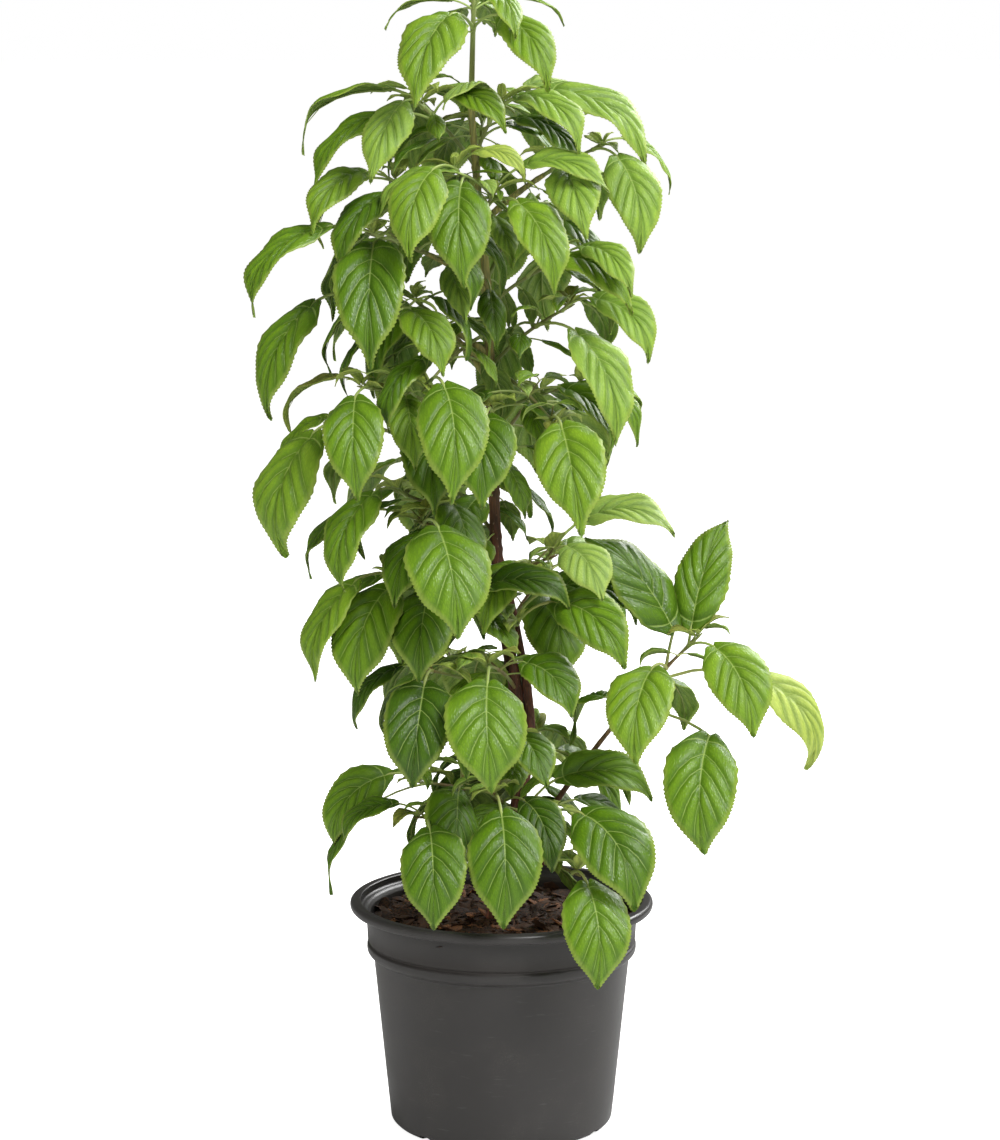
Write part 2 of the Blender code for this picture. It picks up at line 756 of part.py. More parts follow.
def notch_cutter(home):
    """Boxes that cut the drainage notches, and rods that cut the drain holes."""
    bm = bmesh.new()
    for k in range(NOTCHES):
        made = bmesh.ops.create_cube(bm, size=1)["verts"]
        size = Vector((2 * NOTCH_DEPTH, NOTCH_WIDTH, 2 * NOTCH_HEIGHT))
        bmesh.ops.scale(bm, vec=size, verts=made)
        bmesh.ops.translate(bm, vec=(BASE_RADIUS, 0, 0), verts=made)
        turn_round_axis(bm, made, FIRST_NOTCH + 360 * k / NOTCHES)
    for k in range(DRAIN_HOLES):
        made = bmesh.ops.create_cone(
            bm,
            cap_ends=True,
            segments=10,
            radius1=DRAIN_RADIUS,
            radius2=DRAIN_RADIUS,
            depth=6 * WALL,
        )["verts"]
        bmesh.ops.translate(bm, vec=(DRAIN_CIRCLE, 0, 0), verts=made)
        turn_round_axis(bm, made, FIRST_NOTCH + 360 * (k + 0.5) / DRAIN_HOLES)
    mesh = bpy.data.meshes.new("notches")
    bm.to_mesh(mesh)
    bm.free()
    cutter = mesh_object("notches", mesh, home)
    cutter.hide_render = True
    cutter.display_type = "WIRE"
    return cutter


def turn_round_axis(bm, verts, degrees):
    matrix = Matrix.Rotation(math.radians(degrees), 3, "Z")
    bmesh.ops.rotate(bm, cent=(0, 0, 0), matrix=matrix, verts=verts)


def pot(home, cutters_home):
    shell = turned("pot", pot_profile(), home, POT_SIDES)
    cut = shell.modifiers.new("notches", "BOOLEAN")
    cut.operation = "DIFFERENCE"
    cut.object = notch_cutter(cutters_home)
    return shell


def potting_mix(home):
    """The filled inside of the pot, just clear of its wall and floor."""
    step = POT_HEIGHT - COLLAR_HEIGHT
    floor = WALL + GAP
    collar = COLLAR_RADIUS - WALL - 1.2 * MM - GAP
    profile = [
        (0, MIX_TOP),
        (collar - 3 * MM, MIX_TOP),
        (collar, MIX_TOP - 2.5 * MM),
        (collar, step + 4 * MM + GAP),
        (inner_radius(step - WALL) - 1.5 * GAP, step - WALL),
        (inner_radius(floor + CORNER / 2) - 1.5 * GAP, floor + CORNER / 2),
        (BASE_RADIUS - CORNER - 1 * MM, floor),
        (0, floor),
    ]
    return turned("potting_mix", profile, home, POT_SIDES)


def paint(objects, finish):
    for obj in objects:
        obj.data.materials.clear()
        obj.data.materials.append(finish)


def main():
    clear_scene()
    plant = collection("climbing_hydrangea")
    helpers = collection("cutters")
    helpers.hide_render = True

    shell = pot(plant, helpers)
    mix = potting_mix(plant)
    main_stem, twining = stems(plant)
    cutters = stems(helpers, swell=GAP)
    for cutter in cutters:
        cutter.name = "clear_of_" + cutter.name.split(".")[0]
        cutter.hide_render = True
        cutter.display_type = "WIRE"
    limbs = boughs(plant, cutters)
    tree_limbs = [main_stem, twining, *limbs]

    bark = material("bark", (0.115, 0.045, 0.028), 0.7)
    leaf_green = material("leaf", (0.13, 0.30, 0.035), 0.45)
    plastic = material("pot_plastic", (0.055, 0.054, 0.052), 0.42)
    compost = material("potting_mix", (0.05, 0.028, 0.017), 0.95)

    bpy.context.view_layer.update()
    twigs = {shoot.name: twig(shoot, plant) for shoot in SHOOTS}
    twig_meshes = {name: stem.data for name, stem in twigs.items()}
    pot_solids = [as_solid(shell, helpers), as_solid(mix, helpers)]
    leaves = grow_leaves(tree_limbs + pot_solids, twig_meshes)
    masses = []
    for shoot in SHOOTS:
        masses.append(mass(shoot, twigs[shoot.name], leaves[shoot.name], cutters))

    paint([shell], plastic)
    paint([mix], compost)
    paint(tree_limbs, bark)
    paint(masses, leaf_green)


def as_solid(obj, home):
    """A hidden copy of an object with its modifiers applied."""
    graph = bpy.context.evaluated_depsgraph_get()
    mesh = bpy.data.meshes.new_from_object(obj.evaluated_get(graph))
    copy = mesh_object(obj.name + "_solid", mesh, home)
    copy.hide_render = True
    return copy


if __name__ == "__main__":
    main()
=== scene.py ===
"""Potted climbing hydrangea: its leaves, shoots, stems, pot and potting mix.

Metres, +Z up, origin at the centre of the pot's flat underside. -Y is the front.
The plant grows by one rule. Shoots leave the stems, each shoot bears opposite pairs
of leaves on long petioles, and short side shoots with young leaves stand in the
axils. Every blade is the same toothed and quilted sheet, bent into its own place.
"""

import math
import random
from collections import namedtuple

import bmesh
import bpy
import numpy as np
from mathutils import Matrix, Vector, noise
from mathutils.bvhtree import BVHTree


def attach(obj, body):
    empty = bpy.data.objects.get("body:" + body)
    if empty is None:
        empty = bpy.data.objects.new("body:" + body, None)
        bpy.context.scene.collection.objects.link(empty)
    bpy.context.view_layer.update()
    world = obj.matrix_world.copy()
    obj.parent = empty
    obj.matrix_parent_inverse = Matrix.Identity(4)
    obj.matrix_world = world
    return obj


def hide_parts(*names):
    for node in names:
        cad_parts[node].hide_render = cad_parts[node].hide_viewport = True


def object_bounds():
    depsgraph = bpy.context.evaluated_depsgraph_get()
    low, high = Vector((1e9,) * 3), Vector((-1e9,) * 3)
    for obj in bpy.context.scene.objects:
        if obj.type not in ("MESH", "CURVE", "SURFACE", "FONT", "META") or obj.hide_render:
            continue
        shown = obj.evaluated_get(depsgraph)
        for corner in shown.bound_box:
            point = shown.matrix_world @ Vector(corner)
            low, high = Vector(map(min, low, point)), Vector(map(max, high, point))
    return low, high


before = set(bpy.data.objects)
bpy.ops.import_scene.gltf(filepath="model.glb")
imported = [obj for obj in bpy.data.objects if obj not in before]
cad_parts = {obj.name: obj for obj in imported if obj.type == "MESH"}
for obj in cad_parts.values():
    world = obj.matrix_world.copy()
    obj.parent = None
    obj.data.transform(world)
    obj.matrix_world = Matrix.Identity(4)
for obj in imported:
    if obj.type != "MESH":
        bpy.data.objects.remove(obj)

bl_info = {
    "name": "Potted climbing hydrangea",
    "version": (1, 0, 0),
    "blender": (4, 5, 0),
    "location": "View3D > Sidebar > Hydrangea",
    "description": "A young climbing hydrangea in a nursery pot, and the studio it stands in",
    "category": "Object",
}

MM = 0.001
UP = Vector((0, 0, 1))
CAD_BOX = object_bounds()
MASSES = sorted(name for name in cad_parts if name.startswith("leaves_"))
BOUGHS = sorted(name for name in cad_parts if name.startswith("bough_"))

# ---------------------------------------------------------------- the plant's rule

# Main stem: its centre line as (x, y, height), in millimetres.
MAIN_LINE = (
    (3, 0, 135.3),
    (9, -2, 196),
    (13, 1, 253),
    (4, 4, 315),
    (-3, 1, 373),
    (-7, 3, 476),
    (-9, 0, 539),
    (-15, 2, 602),
    (-19, 0, 656),
)
MAIN_FLARE = 7.5 * MM
MAIN_FOOT = 5.2 * MM
MAIN_TIP = 2.0 * MM
FLARE_HEIGHT = 14 * MM
# Second stem: it winds round the main stem and ends as the right-hand bough.
TWINE_FOOT = 3.6 * MM
TWINE_TIP = 2.4 * MM
TWINE_TOP = 352 * MM
TWINE_START = 205  # degrees round the main stem at the foot
TWINE_TURN = 205  # degrees turned on the way up
TWINE_CLEAR = 0.6 * MM
TWINED = "right_mid"  # the shoot that leaves the second stem

# Boughs and twigs.
BOUGH_FOOT = 2.3 * MM
BOUGH_TIP = 1.5 * MM
TWIG_FOOT = 1.35 * MM
TWIG_TIP = 0.9 * MM
BOUGH_ARCH = 0.12  # rise of a bough's middle, as a share of its length
BARE_SHARE = 0.56  # share of a long shoot that is bough, before its leaves
LONG_SHOOT = 76 * MM  # a shoot at least this long has a bough, and a shorter one is all twig
FIRST_NODE = 0.64  # share of the shoot at which its lowest leaves stand
LAST_NODE = 0.97

# Leaves.
PETIOLE_SHARE = 0.42  # petiole length as a share of the blade's
UPRIGHT_SHARE = 0.22  # the same for a blade that stands up
FACING = 26  # degrees that a listed blade on the right rolls to show its face at the front
FACING_LEFT = 0.4  # the same for a blade on the left, as a share of it
SUNK = -0.03  # where a petiole starts inside its twig, as a share of its length
BLADE_WIDTH = 0.57  # width as a share of length
WIDEST = 0.41  # where a blade is widest, from its base
CUP = 0.30  # how far the margins bend down
FOLD = 0.10  # how far the halves fold up from the midrib
BEND = 74  # degrees that a hanging blade turns down along its length
PARTNER = 0.94  # a rule-made leaf's length as a share of its partner's
OUTWARD = 0.55  # how far such a leaf turns from the stem towards the light
# One shoot for each mass of leaves. joint is the height at which it leaves its stem,
# tip its end (all in mm), and nodes the places along it that bear leaves, from the
# lowest up. A node lists one or both leaves of its pair: the compass heading of a
# leaf (0 is right, 90 back, 180 left, 270 front), how far its blade hangs below
# level, the blade's length in mm and, for some, how far the blade swings round from
# its petiole's heading, how many times longer its petiole is and how far it rolls to
# face the front. The partner of a single leaf grows by rule.
Shoot = namedtuple("Shoot", "name joint tip nodes")
SHOOTS = (
    Shoot(
        "right_leap",
        164,
        (122, -28, 322),
        (
            ((316, 62, 84, -62, 1.9), (130, 30, 44)),
            ((348, 50, 88, 0, 2.1), (60, 46, 60)),
            ((250, 46, 78), (300, -50, 82, -120, 1.5, 50)),
            ((302, 48, 74), (50, -62, 82, 0, 0.6)),
        ),
    ),
    Shoot("front_low", 368, (-50, -48, 400), (((240, 46, 66),), ((285, 54, 84),))),
    Shoot("front_mid", 514, (-46, -50, 486), (((225, 50, 64),), ((284, 56, 88),))),
    Shoot("front_skirt", 284, (-8, -54, 310), (((318, 34, 58),), ((268, 60, 80),))),
    Shoot("front_knee", 272, (-46, -36, 304), (((264, 56, 78), (190, 50, 56)),)),
    Shoot("front_high", 590, (-28, -36, 618), (((266, 58, 80),), ((246, 52, 76), (330, 20, 44)))),
    Shoot("left_high", 540, (-78, -30, 577), (((160, 48, 62),), ((245, 56, 96, 22),), ((200, 42, 86),))),
    Shoot("right_arch", 492, (40, -10, 530), (((308, 58, 86, 0, 1, 6),), ((325, 38, 64), (60, 44, 64)))),
    Shoot("right_k", 492, (32, -40, 462), (((330, 44, 62),), ((280, 58, 82),))),
    Shoot(
        "crown",
        656,
        (-17, 0, 728),
        (((249, 44, 88), (305, 44, 72)), ((85, 24, 62),), ((150, 12, 54), (20, 14, 48))),
    ),
    Shoot(
        "upper_left",
        618,
        (-50, -6, 656),
        (((203, 40, 80),), ((187, 28, 82), (312, 26, 54)), ((248, 50, 68),)),
    ),
    Shoot("left_shoulder", 572, (-66, 2, 608), (((232, 50, 80),), ((228, 46, 68), (165, 52, 60)))),
    Shoot("left_mid", 500, (-92, -4, 540), (((150, 50, 66),), ((222, 62, 90),))),
    Shoot("left_inner", 494, (-70, -26, 528), (((182, 6, 44),), ((300, 42, 62), (215, 30, 48)))),
    Shoot("front_heart", 446, (-6, -28, 468), (((264, 56, 72), (335, 44, 56)),)),
    Shoot("left_bronze", 450, (-84, -26, 482), (((258, 50, 62, 20),), ((256, 58, 80, 12), (160, 40, 58)))),
    Shoot("left_low", 412, (-94, -8, 460), (((140, 50, 70),), ((227, 66, 94), (190, 50, 56)))),
    Shoot("left_knee", 376, (-62, -26, 415), (((258, 50, 74), (180, 46, 60)), ((236, 52, 78),))),
    Shoot(
        "left_skirt",
        318,
        (-68, -20, 362),
        (((262, 58, 74),), ((246, 56, 82), (170, 50, 64)), ((220, 60, 78),)),
    ),
    Shoot("front_stem", 330, (-28, -38, 336), (((240, 50, 68), (338, 8, 66)),)),
    Shoot("right_small", 460, (48, 4, 480), (((352, 42, 62),), ((318, 40, 58), (40, 42, 56)))),
    Shoot("right_shoulder", 530, (32, -12, 558), (((316, 28, 74), (40, 46, 64)), ((306, 48, 78),))),
    Shoot("right_high", 579, (-6, -38, 602), (((302, 52, 76), (240, 30, 46)), ((335, 14, 66),))),
    Shoot("right_bud", 582, (60, 4, 630), (((280, 62, 84), (60, 46, 60)), ((296, 60, 74), (25, 44, 56)))),
    Shoot(
        "right_top",
        624,
        (-2, -4, 656),
        (((312, 28, 72),), ((335, 34, 90), (60, 30, 62)), ((25, 20, 54),)),
    ),
    Shoot("right_mid", 352, (30, -12, 372), (((25, 34, 62),), ((340, 14, 70), (300, 34, 56)))),
    Shoot("right_front", 320, (10, -24, 332), (((345, 12, 72), (45, 34, 52)), ((336, 24, 84),))),
    Shoot("right_low", 204, (14, -34, 208), (((352, 8, 72, 0, 1.2, 44), (215, 20, 40)),)),
    Shoot("low_right", 168, (46, -74, 182), (((230, 40, 48),), ((285, 58, 78),))),
    Shoot("low_right_high", 192, (30, -54, 217), (((308, 52, 86), (20, 36, 52)),)),
    Shoot("low_front", 194, (-4, -54, 228), (((318, 40, 64),), ((276, 62, 82),))),
    Shoot("low_front_left", 188, (-50, -52, 213), (((276, 58, 74), (190, 30, 48)),)),
    Shoot(
        "low_left",
        206,
        (-48, -20, 228),
        (((238, 52, 74, 0, 1, 50),), ((200, 44, 66, 0, 1, 60), (140, 44, 52))),
    ),
    Shoot("front_base", 240, (2, -26, 258), (((294, 34, 52), (250, 34, 46)),)),
    Shoot("back_top", 606, (-12, 46, 646), (((30, 40, 70),), ((110, 46, 78),), ((60, 36, 70),))),
    Shoot("back_high", 546, (14, 50, 586), (((20, 48, 72),), ((100, 52, 82),), ((50, 44, 70),))),
    Shoot("back_left", 482, (-54, 44, 530), (((170, 50, 74),), ((110, 54, 82),), ((145, 46, 70),))),
    Shoot("back_mid", 436, (24, 50, 470), (((20, 48, 70),), ((90, 54, 80),), ((50, 48, 70),))),
    Shoot("back_knee", 384, (-46, 48, 420), (((165, 50, 74),), ((100, 54, 82),), ((140, 48, 70),))),
    Shoot("back_low", 322, (28, 50, 350), (((20, 48, 70),), ((80, 54, 80),), ((50, 46, 70),))),
    Shoot("back_skirt", 262, (-32, 50, 292), (((160, 50, 72),), ((100, 54, 80),), ((135, 48, 66),))),
    Shoot("back_base", 204, (20, 46, 240), (((30, 44, 66),), ((110, 54, 76),), ((65, 46, 66),))),
)

Leaf = namedtuple("Leaf", "root base heading swing lift level hang petiole blade width tilt")


def compass(degrees):
    """The level unit vector that points in a compass direction."""
    turn = math.radians(degrees)
    return Vector((math.cos(turn), math.sin(turn), 0))


def smooth_line(knots, height):
    """The point at a height on a smooth line through knots that rise one by one."""
    last = len(knots) - 2
    k = 0
    while k < last and height > knots[k + 1].z:
        k += 1
    a, b = knots[k], knots[k + 1]
    before = knots[max(k - 1, 0)]
    after = knots[min(k + 2, last + 1)]
    span = b.z - a.z
    share = (height - a.z) / span
    slope_a = (b - before) * (span / (b.z - before.z))
    slope_b = (after - a) * (span / (after.z - a.z))
    s2, s3 = share**2, share**3
    point = (
        a * (2 * s3 - 3 * s2 + 1)
        + slope_a * (s3 - 2 * s2 + share)
        + b * (3 * s2 - 2 * s3)
        + slope_b * (s3 - s2)
    )
    return Vector((point.x, point.y, height))


MAIN_KNOTS = [Vector(knot) * MM for knot in MAIN_LINE]
MAIN_BOTTOM, MAIN_HEIGHT = MAIN_KNOTS[0].z, MAIN_KNOTS[-1].z


def main_point(height):
    return smooth_line(MAIN_KNOTS, height)


def main_radius(height):
    """Even taper up the stem, with a flare just above the mix."""
    share = (height - MAIN_BOTTOM) / (MAIN_HEIGHT - MAIN_BOTTOM)
    taper = MAIN_FOOT + (MAIN_TIP - MAIN_FOOT) * share
    flare = max(0.0, 1 - (height - MAIN_BOTTOM) / FLARE_HEIGHT)
    return taper + (MAIN_FLARE - MAIN_FOOT) * flare**2


def twine_radius(height):
    share = (height - MAIN_BOTTOM) / (TWINE_TOP - MAIN_BOTTOM)
    return TWINE_FOOT + (TWINE_TIP - TWINE_FOOT) * share


def twine_point(height):
    """The second stem's centre, wound round the main stem just clear of it."""
    share = (height - MAIN_BOTTOM) / (TWINE_TOP - MAIN_BOTTOM)
    away = main_radius(height) + twine_radius(height) + TWINE_CLEAR
    return main_point(height) + compass(TWINE_START + TWINE_TURN * share) * away


def steps(start, end, count):
    return [start + (end - start) * k / (count - 1) for k in range(count)]


def shoot_start(shoot):
    """Where the shoot leaves its stem, on the stem's centre line."""
    twined = shoot.name == TWINED
    return (twine_point if twined else main_point)(shoot.joint * MM)


def shoot_length(shoot):
    return (Vector(shoot.tip) * MM - shoot_start(shoot)).length


def shoot_line(shoot):
    """The shoot's curve as a function of the share of the way from its joint to its tip."""
    start = shoot_start(shoot)
    tip = Vector(shoot.tip) * MM
    turn = start.lerp(tip, 0.45) + UP * BOUGH_ARCH * shoot_length(shoot)

    def at(share):
        first = start.lerp(turn, share)
        return first.lerp(turn.lerp(tip, share), share)

    return at


def bare_share(shoot):
    """The share of the shoot that is bough: nothing on a short shoot or on the crown."""
    return BARE_SHARE if shoot_length(shoot) > LONG_SHOOT and shoot.name != "crown" else 0.0


def arc(length, start, end, share):
    """Forward and upward travel along an arc whose slope goes evenly from start to end, in degrees."""
    first = math.radians(start)
    turn = math.radians(end - start) * share
    if abs(turn) < 1e-4:
        turn = 1e-4
    forward = (math.sin(first + turn) - math.sin(first)) / turn
    upward = (math.cos(first) - math.cos(first + turn)) / turn
    return length * share * forward, length * share * upward, first + turn


def petiole_point(leaf, share):
    forward, upward, _ = arc(leaf.petiole, leaf.lift, leaf.level, share)
    return leaf.root + compass(leaf.heading) * forward + UP * upward


def turned_outward(heading, place):
    """A heading turned towards the light, away from the main stem."""
    away = place - main_point(min(place.z, MAIN_HEIGHT))
    away.z = 0
    if away.length < 1 * MM:
        return heading
    bound = compass(heading) + away.normalized() * OUTWARD
    return math.degrees(math.atan2(bound.y, bound.x))


def leaf_nodes(shoot):
    """Where each pair of leaves stands, as shares of the shoot's length."""
    count = len(shoot.nodes)
    if count == 1:
        return [LAST_NODE]
    return steps(FIRST_NODE, LAST_NODE, count)


def leaf_of(shoot, share, draw, heading, droop, length, swing=0, stalk=1.0, facing=FACING):
    """A leaf on the shoot, with its seeded variation."""
    blade = length * MM * draw.uniform(0.98, 1.02)
    width = blade * BLADE_WIDTH * draw.uniform(0.92, 1.1)
    petiole = blade * stalk * (PETIOLE_SHARE if droop > 0 else UPRIGHT_SHARE)
    petiole *= draw.uniform(0.88, 1.12)
    bend = BEND if droop > 0 else BEND * 0.4
    level = bend / 2 - droop
    lift = min(78.0, level + draw.uniform(34, 50))
    aside = math.cos(math.radians(heading + swing))
    tilt = draw.uniform(-12, 12) - facing * aside * (1 if aside > 0 or facing > FACING else FACING_LEFT)
    root = shoot_line(shoot)(share)
    hang = level - bend
    return Leaf(root, None, heading, swing, lift, level, hang, petiole, blade, width, tilt)


def seated(leaf):
    """The leaf with its blade's base worked out at the petiole's end."""
    return leaf._replace(base=petiole_point(leaf, 1))


# Changes tried one by one where a leaf would touch something: turn, drop, size and roll.
TRIES = (
    (0, 0, 1, 0),
    (9, 0, 1, 8),
    (-9, 0, 1, -8),
    (0, 10, 1, 0),
    (0, -12, 1, 0),
    (18, 4, 0.94, 14),
    (-18, 4, 0.94, -14),
    (30, -6, 0.88, 10),
    (-30, -6, 0.88, -10),
    (0, 16, 0.82, 18),
    (0, -20, 0.82, -18),
    (45, 8, 0.8, 20),
    (-45, 8, 0.8, -20),
)


def changed(leaf, turn, drop, size, roll):
    return seated(
        leaf._replace(
            heading=leaf.heading + turn,
            level=leaf.level - drop,
            hang=leaf.hang - drop,
            blade=leaf.blade * size,
            width=leaf.width * size,
            tilt=leaf.tilt + roll,
        )
    )


def wanted_leaves(shoot, listed):
    """The shoot's listed leaves, or the rule-made partners of its single ones."""
    draw = random.Random(shoot.name + ("" if listed else " partners"))
    for share, pair in zip(leaf_nodes(shoot), shoot.nodes):
        if listed:
            for leaf in pair:
                yield leaf_of(shoot, share, draw, *leaf)
        elif len(pair) == 1:
            heading, droop, length = pair[0][:3]
            across = turned_outward(heading + 180, shoot_line(shoot)(share))
            sag = max(droop, 30) + draw.uniform(-12, 8)
            yield leaf_of(shoot, share, draw, across, sag, length * PARTNER, facing=0)


# ---------------------------------------------------------------- blades as bent sheets

SLANT = 0.33  # how far along the blade a side vein climbs on its way to the margin
FIRST_VEIN = 0.06  # where the lowest side vein leaves the midrib
VEIN_STEP = 0.128  # midrib between two side veins, as a share of the blade's length
FULLEST = 0.37  # where the blade is fullest
BASE_SHARE = 0.035  # where the margin starts beside the petiole
WIDE = (0.93, 1.05)  # width of a blade that faces front or back, as a share of the solids'
NARROWED = 0.28  # how much narrower a blade is that stands out to one side
LOFTY = (0.40, 0.58)  # heights between which blades get slimmer, in metres
SLIMMED = 0.15  # how much slimmer they are at the top
TIPS = (0.24, 0.50)  # the same for tips that get more drawn out
BLUNT = 0.24  # how drawn out the lowest tips are
DRAWN_OUT = 0.24  # how much more the highest are
CREASE = (-0.06, 0.18)  # how much more a blade folds up than its style says
CREASED = 0.22  # how much more on a blade that stands out to one side
HOOK = (-0.02, 0.11)  # how far a tip hooks down, as a share of the blade's length
HOOKED = 0.1  # how much more on a blade that stands out to one side
SICKLE = 0.09  # how far a blade's tip may curve to one side, as a share of its length
TWIST = 14  # degrees that a blade may twist along its length
CUPPED = (-0.08, 0.12)  # how much more its margins bend down than its style says
GROOVE = 0.5 * MM  # depth of the channel over the midrib of a full-sized blade
KEEL = 0.45 * MM  # how far the midrib stands out below
LOBE = 0.04  # how far the base's lobes reach back past the petiole
COLUMNS = (0, 0.08, 0.35, 0.64, 0.88, 1)  # from midrib to margin
SMALL_COLUMNS = (0, 0.16, 0.58, 1)
ROWS = 72
SMALL_ROWS = 22
RIB_SHARES = (0.06, 0.16, 0.3, 0.45, 0.6, 0.75, 0.88, 0.97)  # places of the midrib's points
RIB_FOOT = 0.72  # its radius at the base, as a share of the petiole's
RIB_TIP = 0.06  # the same at the tip
TILES = (4, 3)  # places on the leaf map: one for each tint
TILE_HALF = 0.47  # a tile's half width on the map, as a share of the tile
TILE_FOOT = 0.03  # where the blade's base lies in its tile
TILE_RUN = 0.94  # the blade's length in its tile

Style = namedtuple("Style", "fold cup quilting waves")
GROWN = Style(FOLD, CUP, 1.0, 1.0)
YOUNG = Style(0.42, 0.18, 0.55, 0.6)
YOUNG_BLADE = 26 * MM  # a blade shorter than this is young
HALF_HEIGHT = 460 * MM  # where the small leaves are parted into two pieces
# The upper sides' tints have the first tiles, and the undersides' the ones after them.
TINTS = "dark deep mid fresh bright pale young bronze".split()
UNDER_TINTS = ("under_dark", "under_mid", "under_pale", "under_young")
UNDER = {"dark": 8, "deep": 8, "mid": 9, "fresh": 9, "bright": 9, "pale": 10, "young": 11, "bronze": 11}


def eased(value, low, high):
    """0 below low, 1 above high, and a smooth rise between."""
    share = np.clip((value - low) / (high - low), 0, 1)
    return share * share * (3 - 2 * share)


def outline(share, drawn=0.0):
    """A blade's half width along its length, 1 at its widest, with a blunt or a drawn-out tip."""
    near = np.sqrt(np.clip(1 - (1 - share / FULLEST) ** 2, 0, 1))
    ahead = np.clip((share - FULLEST) / (1 - FULLEST), 0, 1)
    far = (1 - ahead ** (2.6 - 1.3 * drawn)) ** 1.12 * (1 - drawn * eased(ahead, 0.5, 0.88))
    return np.maximum(np.where(share <= FULLEST, near, far), 0.004)


def bent(leaf, sideways, share, height, twist=0.0):
    """Places on the leaf: metres sideways from the midrib, share of the way along it, metres above it."""
    first = math.radians(leaf.level)
    turn = math.radians(leaf.hang - leaf.level) * share
    turn = np.where(np.abs(turn) < 1e-5, 1e-5, turn)
    forward = leaf.blade * share * (np.sin(first + turn) - math.sin(first)) / turn
    upward = leaf.blade * share * (math.cos(first) - np.cos(first + turn)) / turn
    slope = (first + turn)[:, None]
    tilt = np.radians(leaf.tilt + twist * share)[:, None]
    ahead = np.array(compass(leaf.heading + leaf.swing))
    side = np.array(compass(leaf.heading + leaf.swing - 90))
    out = np.array(UP) * np.cos(slope) - ahead * np.sin(slope)
    across = side * np.cos(tilt) + out * np.sin(tilt)
    face = out * np.cos(tilt) - side * np.sin(tilt)
    middle = np.array(leaf.base) + ahead * forward[:, None] + np.array(UP) * upward[:, None]
    return middle + across * sideways[:, None] + face * height[:, None]


def plain_places(leaf, across, share):
    """The same, on the smooth blade, with across from -1 to 1 between the margins."""
    across, share = np.array(across, float), np.array(share, float)
    sideways = across * plain_width(share) * leaf.width / 2
    return bent(leaf, sideways, share, np.abs(sideways) * (FOLD - CUP * np.abs(across)))


def plain_width(share):
    """The half width that the solids have."""
    near = np.sqrt(np.clip(1 - (1 - share / WIDEST) ** 2, 0, 1))
    ahead = np.clip((share - WIDEST) / (1 - WIDEST), 0, 1)
    return np.where(share <= WIDEST, near, (1 - ahead**2.1) ** 1.08)


Sheet = namedtuple("Sheet", "mesh across run under odd corner_across corner_run corner_under")


def made_mesh(name, bm):
    """The mesh of a bmesh, which is then freed."""
    mesh = bpy.data.meshes.new(name)
    bm.to_mesh(mesh)
    bm.free()
    return mesh


def flat_sheet(name, rows, columns):
    """A closed flat sheet of two layers: the blade before it is bent."""
    bm = bmesh.new()
    marks = [-c for c in reversed(columns[1:])] + list(columns)
    last = len(marks) - 1
    for layer in (0, -1):
        grid = bmesh.ops.create_grid(bm, x_segments=last, y_segments=rows, size=1)
        for vert in grid["verts"]:
            vert.co.z = layer
    bmesh.ops.bridge_loops(bm, edges=[edge for edge in bm.edges if edge.is_boundary])
    bmesh.ops.triangulate(bm, faces=[f for f in bm.faces if len(f.verts) > 4])
    bmesh.ops.recalc_face_normals(bm, faces=bm.faces)
    for face in bm.faces:
        face.smooth = len({vert.co.z for vert in face.verts}) == 1
    bm.verts.ensure_lookup_table()
    across = np.array([marks[round((vert.co.x + 1) / 2 * last)] for vert in bm.verts], float)
    row = np.array([round((vert.co.y + 1) / 2 * rows) for vert in bm.verts])
    under = np.array([vert.co.z < -0.5 for vert in bm.verts])
    bm.loops.layers.uv.new("OFBake")
    mesh = made_mesh(name, bm)
    turns = np.zeros(len(mesh.loops), int)
    mesh.loops.foreach_get("vertex_index", turns)
    corner_under = np.zeros(len(mesh.loops), bool)
    for face in mesh.polygons:
        corner_under[list(face.loop_indices)] = under[list(face.vertices)].all()
    run = row / rows
    return Sheet(mesh, across, run, under, row % 2, across[turns], run[turns], corner_under)


def slant(sheet, side):
    """Each row's way along the blade, which slants forward as the side veins do and back at the foot."""
    run = sheet.run
    rise = eased(run, 0, 0.18) * np.clip((1 - run) / 0.35, 0, 1) ** 1.2
    near_base = np.clip(1 - run / 0.08, 0, 1)
    foot = FULLEST * (1 - np.sqrt(1 - (side * outline(BASE_SHARE)) ** 2)) * near_base
    share = run + SLANT * rise * (0.5 * side + 0.5 * side**2) + foot
    share = share - LOBE * np.sin(np.pi * side**0.9) * near_base
    edge = run + SLANT * rise + BASE_SHARE * near_base
    return share, edge


def quilting(sheet, side, edge, draw):
    """Bulges between the side veins, from 0 on a vein to about 1, each a little different."""
    phase = (sheet.run - FIRST_VEIN) / VEIN_STEP
    off_vein = np.abs(phase - np.round(phase))
    swell = (1 - np.exp(-((off_vein / 0.17) ** 2))) * np.clip(side / 0.12, 0, 1)
    swell = swell * (1 - side**4) * np.clip(1.7 * outline(edge) - 0.15, 0, 1)
    ripple = np.sin(side * draw.uniform(8, 11) + np.round(phase) * 2.4 + np.sign(sheet.across))
    return swell * (1 + 0.28 * ripple)


def wave(share, draw):
    """One margin's slow wave up and down."""
    return np.sin(2 * np.pi * (share * draw.uniform(1.8, 2.6) + draw.random()))


